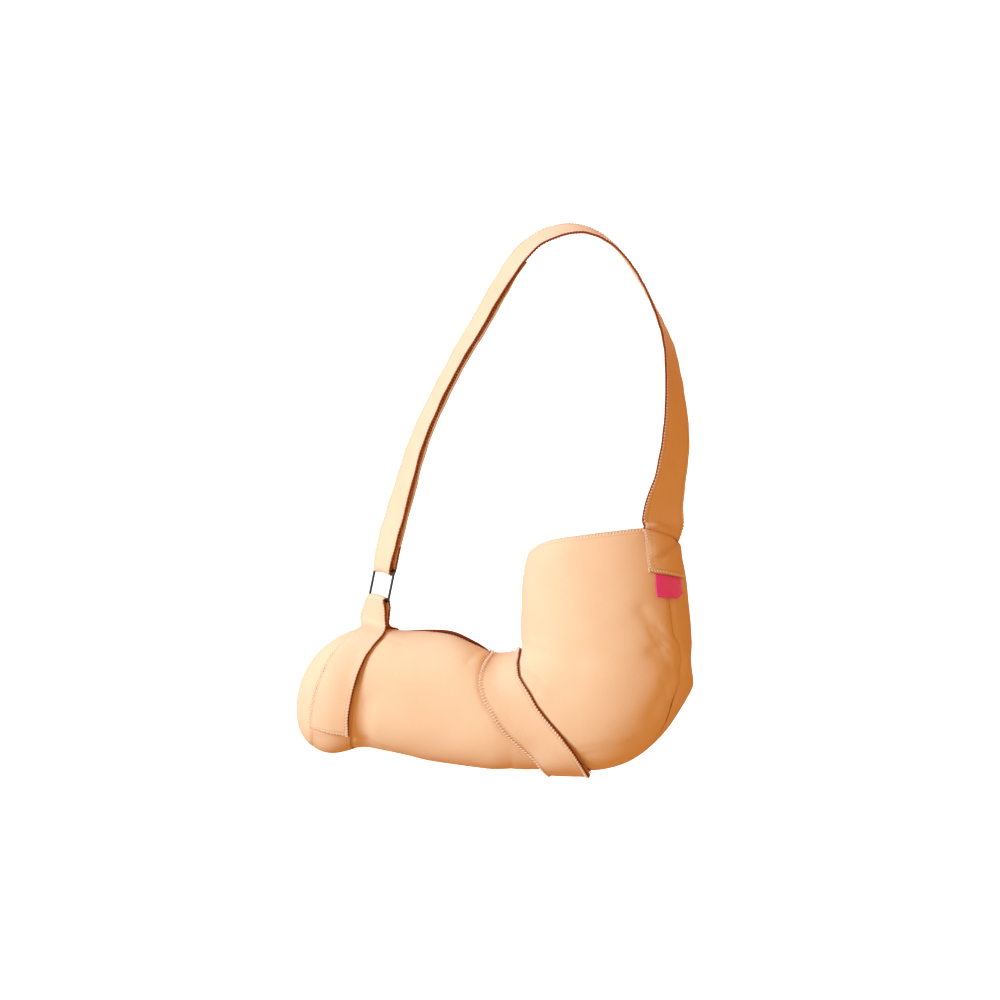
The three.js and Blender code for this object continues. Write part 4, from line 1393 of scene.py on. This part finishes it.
def ring_wire():
    """The ring's wire, which turns through four corners."""
    turn = np.concatenate([k + steps(8) for k in range(4)])[:, None] * np.pi / 2
    outward = ring_across * np.cos(turn) + ring_up * np.sin(turn)
    right, high = (np.repeat(side, 9)[:, None] for side in ((1, -1, -1, 1), (1, 1, -1, -1)))
    sideways = right * ((RING_INNER_WIDTH + RING_WIRE) / 2 - RING_CORNER)
    upward = high * (bar_height - RING_CORNER)
    path = ring_middle + ring_across * sideways + ring_up * upward + outward * RING_CORNER
    points = hoops(path, outward, ring_out + 0 * path, RING_WIRE / 2, 16)
    index = np.arange(points[..., 0].size).reshape(points.shape[:2])
    faces = quads(np.pad(index, (0, 1), "wrap")).tolist()
    piece = sling_piece("strap_ring_wire", points.reshape(-1, 3), faces, STEEL)
    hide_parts("strap_ring")


ring_wire()


# Label tab

def label_tab():
    """The ribbon below the strap's sewn end, curled up at one corner."""
    places = across_places(TAB_WIDTH, TAB_THICK, 21)
    run = spread(TAB_LENGTH, TAB_THICK, 1.0)
    share = run[:, None] / TAB_LENGTH
    downs = PATCH_LENGTH + SEAM_GAP + run
    grid = sleeve_rows(downs, places + 0 * share, BAND_CLEAR + TAB_THICK / 2)
    normals = grid_normals(grid)
    if normals[0, 0, 1] > 0:
        normals = -normals
    curl = share**2 * (1.2 + 0.9 * np.sin(places / TAB_WIDTH * 3.0 + 0.6))
    turned_up = 6.0 * share**2 * smoothstep(0.1, 0.5, -places / TAB_WIDTH) ** 2
    grid = grid + normals * curl[..., None] + Z * turned_up[..., None]
    piece = plain_piece("label_tab_ribbon", grid, TAB_THICK, run, places, RIBBON, normals)
    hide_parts("label_tab")


label_tab()


# Studio

PHOTO_SCALE = 0.95003
PHOTO_MIDDLE = (-12, 142)   # pixels of the photo, right of and above the crook
CAMERA_BACK = 2243.0
FLOOR_HEIGHT = -0.95
SLING_MIDDLE = (-0.07, -0.03, -0.30)
COOL = (0.34, 0.625, 1.0)
WARM = (1.0, 0.51, 0.14)


def studio_floor():
    """A pale floor that curves up all round, well below the sling."""
    turn = np.linspace(0, np.pi / 2, 13)
    radii = np.concatenate([[0.001, 1.0, 2.2], 3.4 + 1.6 * np.sin(turn), [5.0]])
    heights = np.concatenate([[0, 0, 0], 1.6 - 1.6 * np.cos(turn), [5.5]]) + FLOOR_HEIGHT
    angles = steps(96)[:-1] * 2 * np.pi
    points = np.stack([
        radii[:, None] * np.cos(angles), radii[:, None] * np.sin(angles),
        heights[:, None] + 0 * angles,
    ], -1).reshape(-1, 3)
    index = np.arange(len(points)).reshape(len(radii), -1)
    faces = quads(np.pad(index, ((0, 0), (0, 1)), "wrap"))[:, ::-1].tolist()
    faces.append(index[0].tolist())
    floor = smooth_object("studio_floor", points, faces, studio_paint("pale_paint", 0.92, 1.4))
    floor.visible_diffuse = False


def soft_light(name, place, watts, size, shade):
    """A soft lamp that shines at the sling's middle."""
    lamp = bpy.data.lights.new(name, "AREA")
    lamp.energy = watts
    lamp.size = size
    lamp.color = shade
    holder = placed(name, lamp)
    holder.location = place
    way = Vector(SLING_MIDDLE) - Vector(place)
    holder.rotation_euler = way.to_track_quat("-Z", "Y").to_euler()


studio_floor()
soft_light("key", (-2.52, -1.65, 0.4), 168, 1.2, COOL)
soft_light("front", (-0.5, -2.5, -0.7), 17, 1.2, (0.70, 0.78, 0.55))
soft_light("top", (-0.5, 0.3, 2.1), 46, 1.0, COOL)
soft_light("rim", (0.4, 2.2, 0.9), 12, 1.4, COOL)
world = bpy.data.worlds.new("studio_air")
bpy.context.scene.world = world
world.use_nodes = True
air = world.node_tree.nodes["Background"]
air.inputs["Color"].default_value = WARM + (1,)
air.inputs["Strength"].default_value = 0.6

lens = bpy.data.cameras.new("camera")
lens.lens = 85
lens.sensor_width = 36
lens.clip_end = 50
camera = placed("camera", lens)
right, above = (pixels * PHOTO_SCALE for pixels in PHOTO_MIDDLE)
camera.location = to_frame((right, -CAMERA_BACK, above))
camera.rotation_euler = (math.pi / 2, 0, 0)
bpy.context.scene.camera = camera
bpy.context.scene.view_settings.view_transform = "Standard"

bpy.context.view_layer.update()
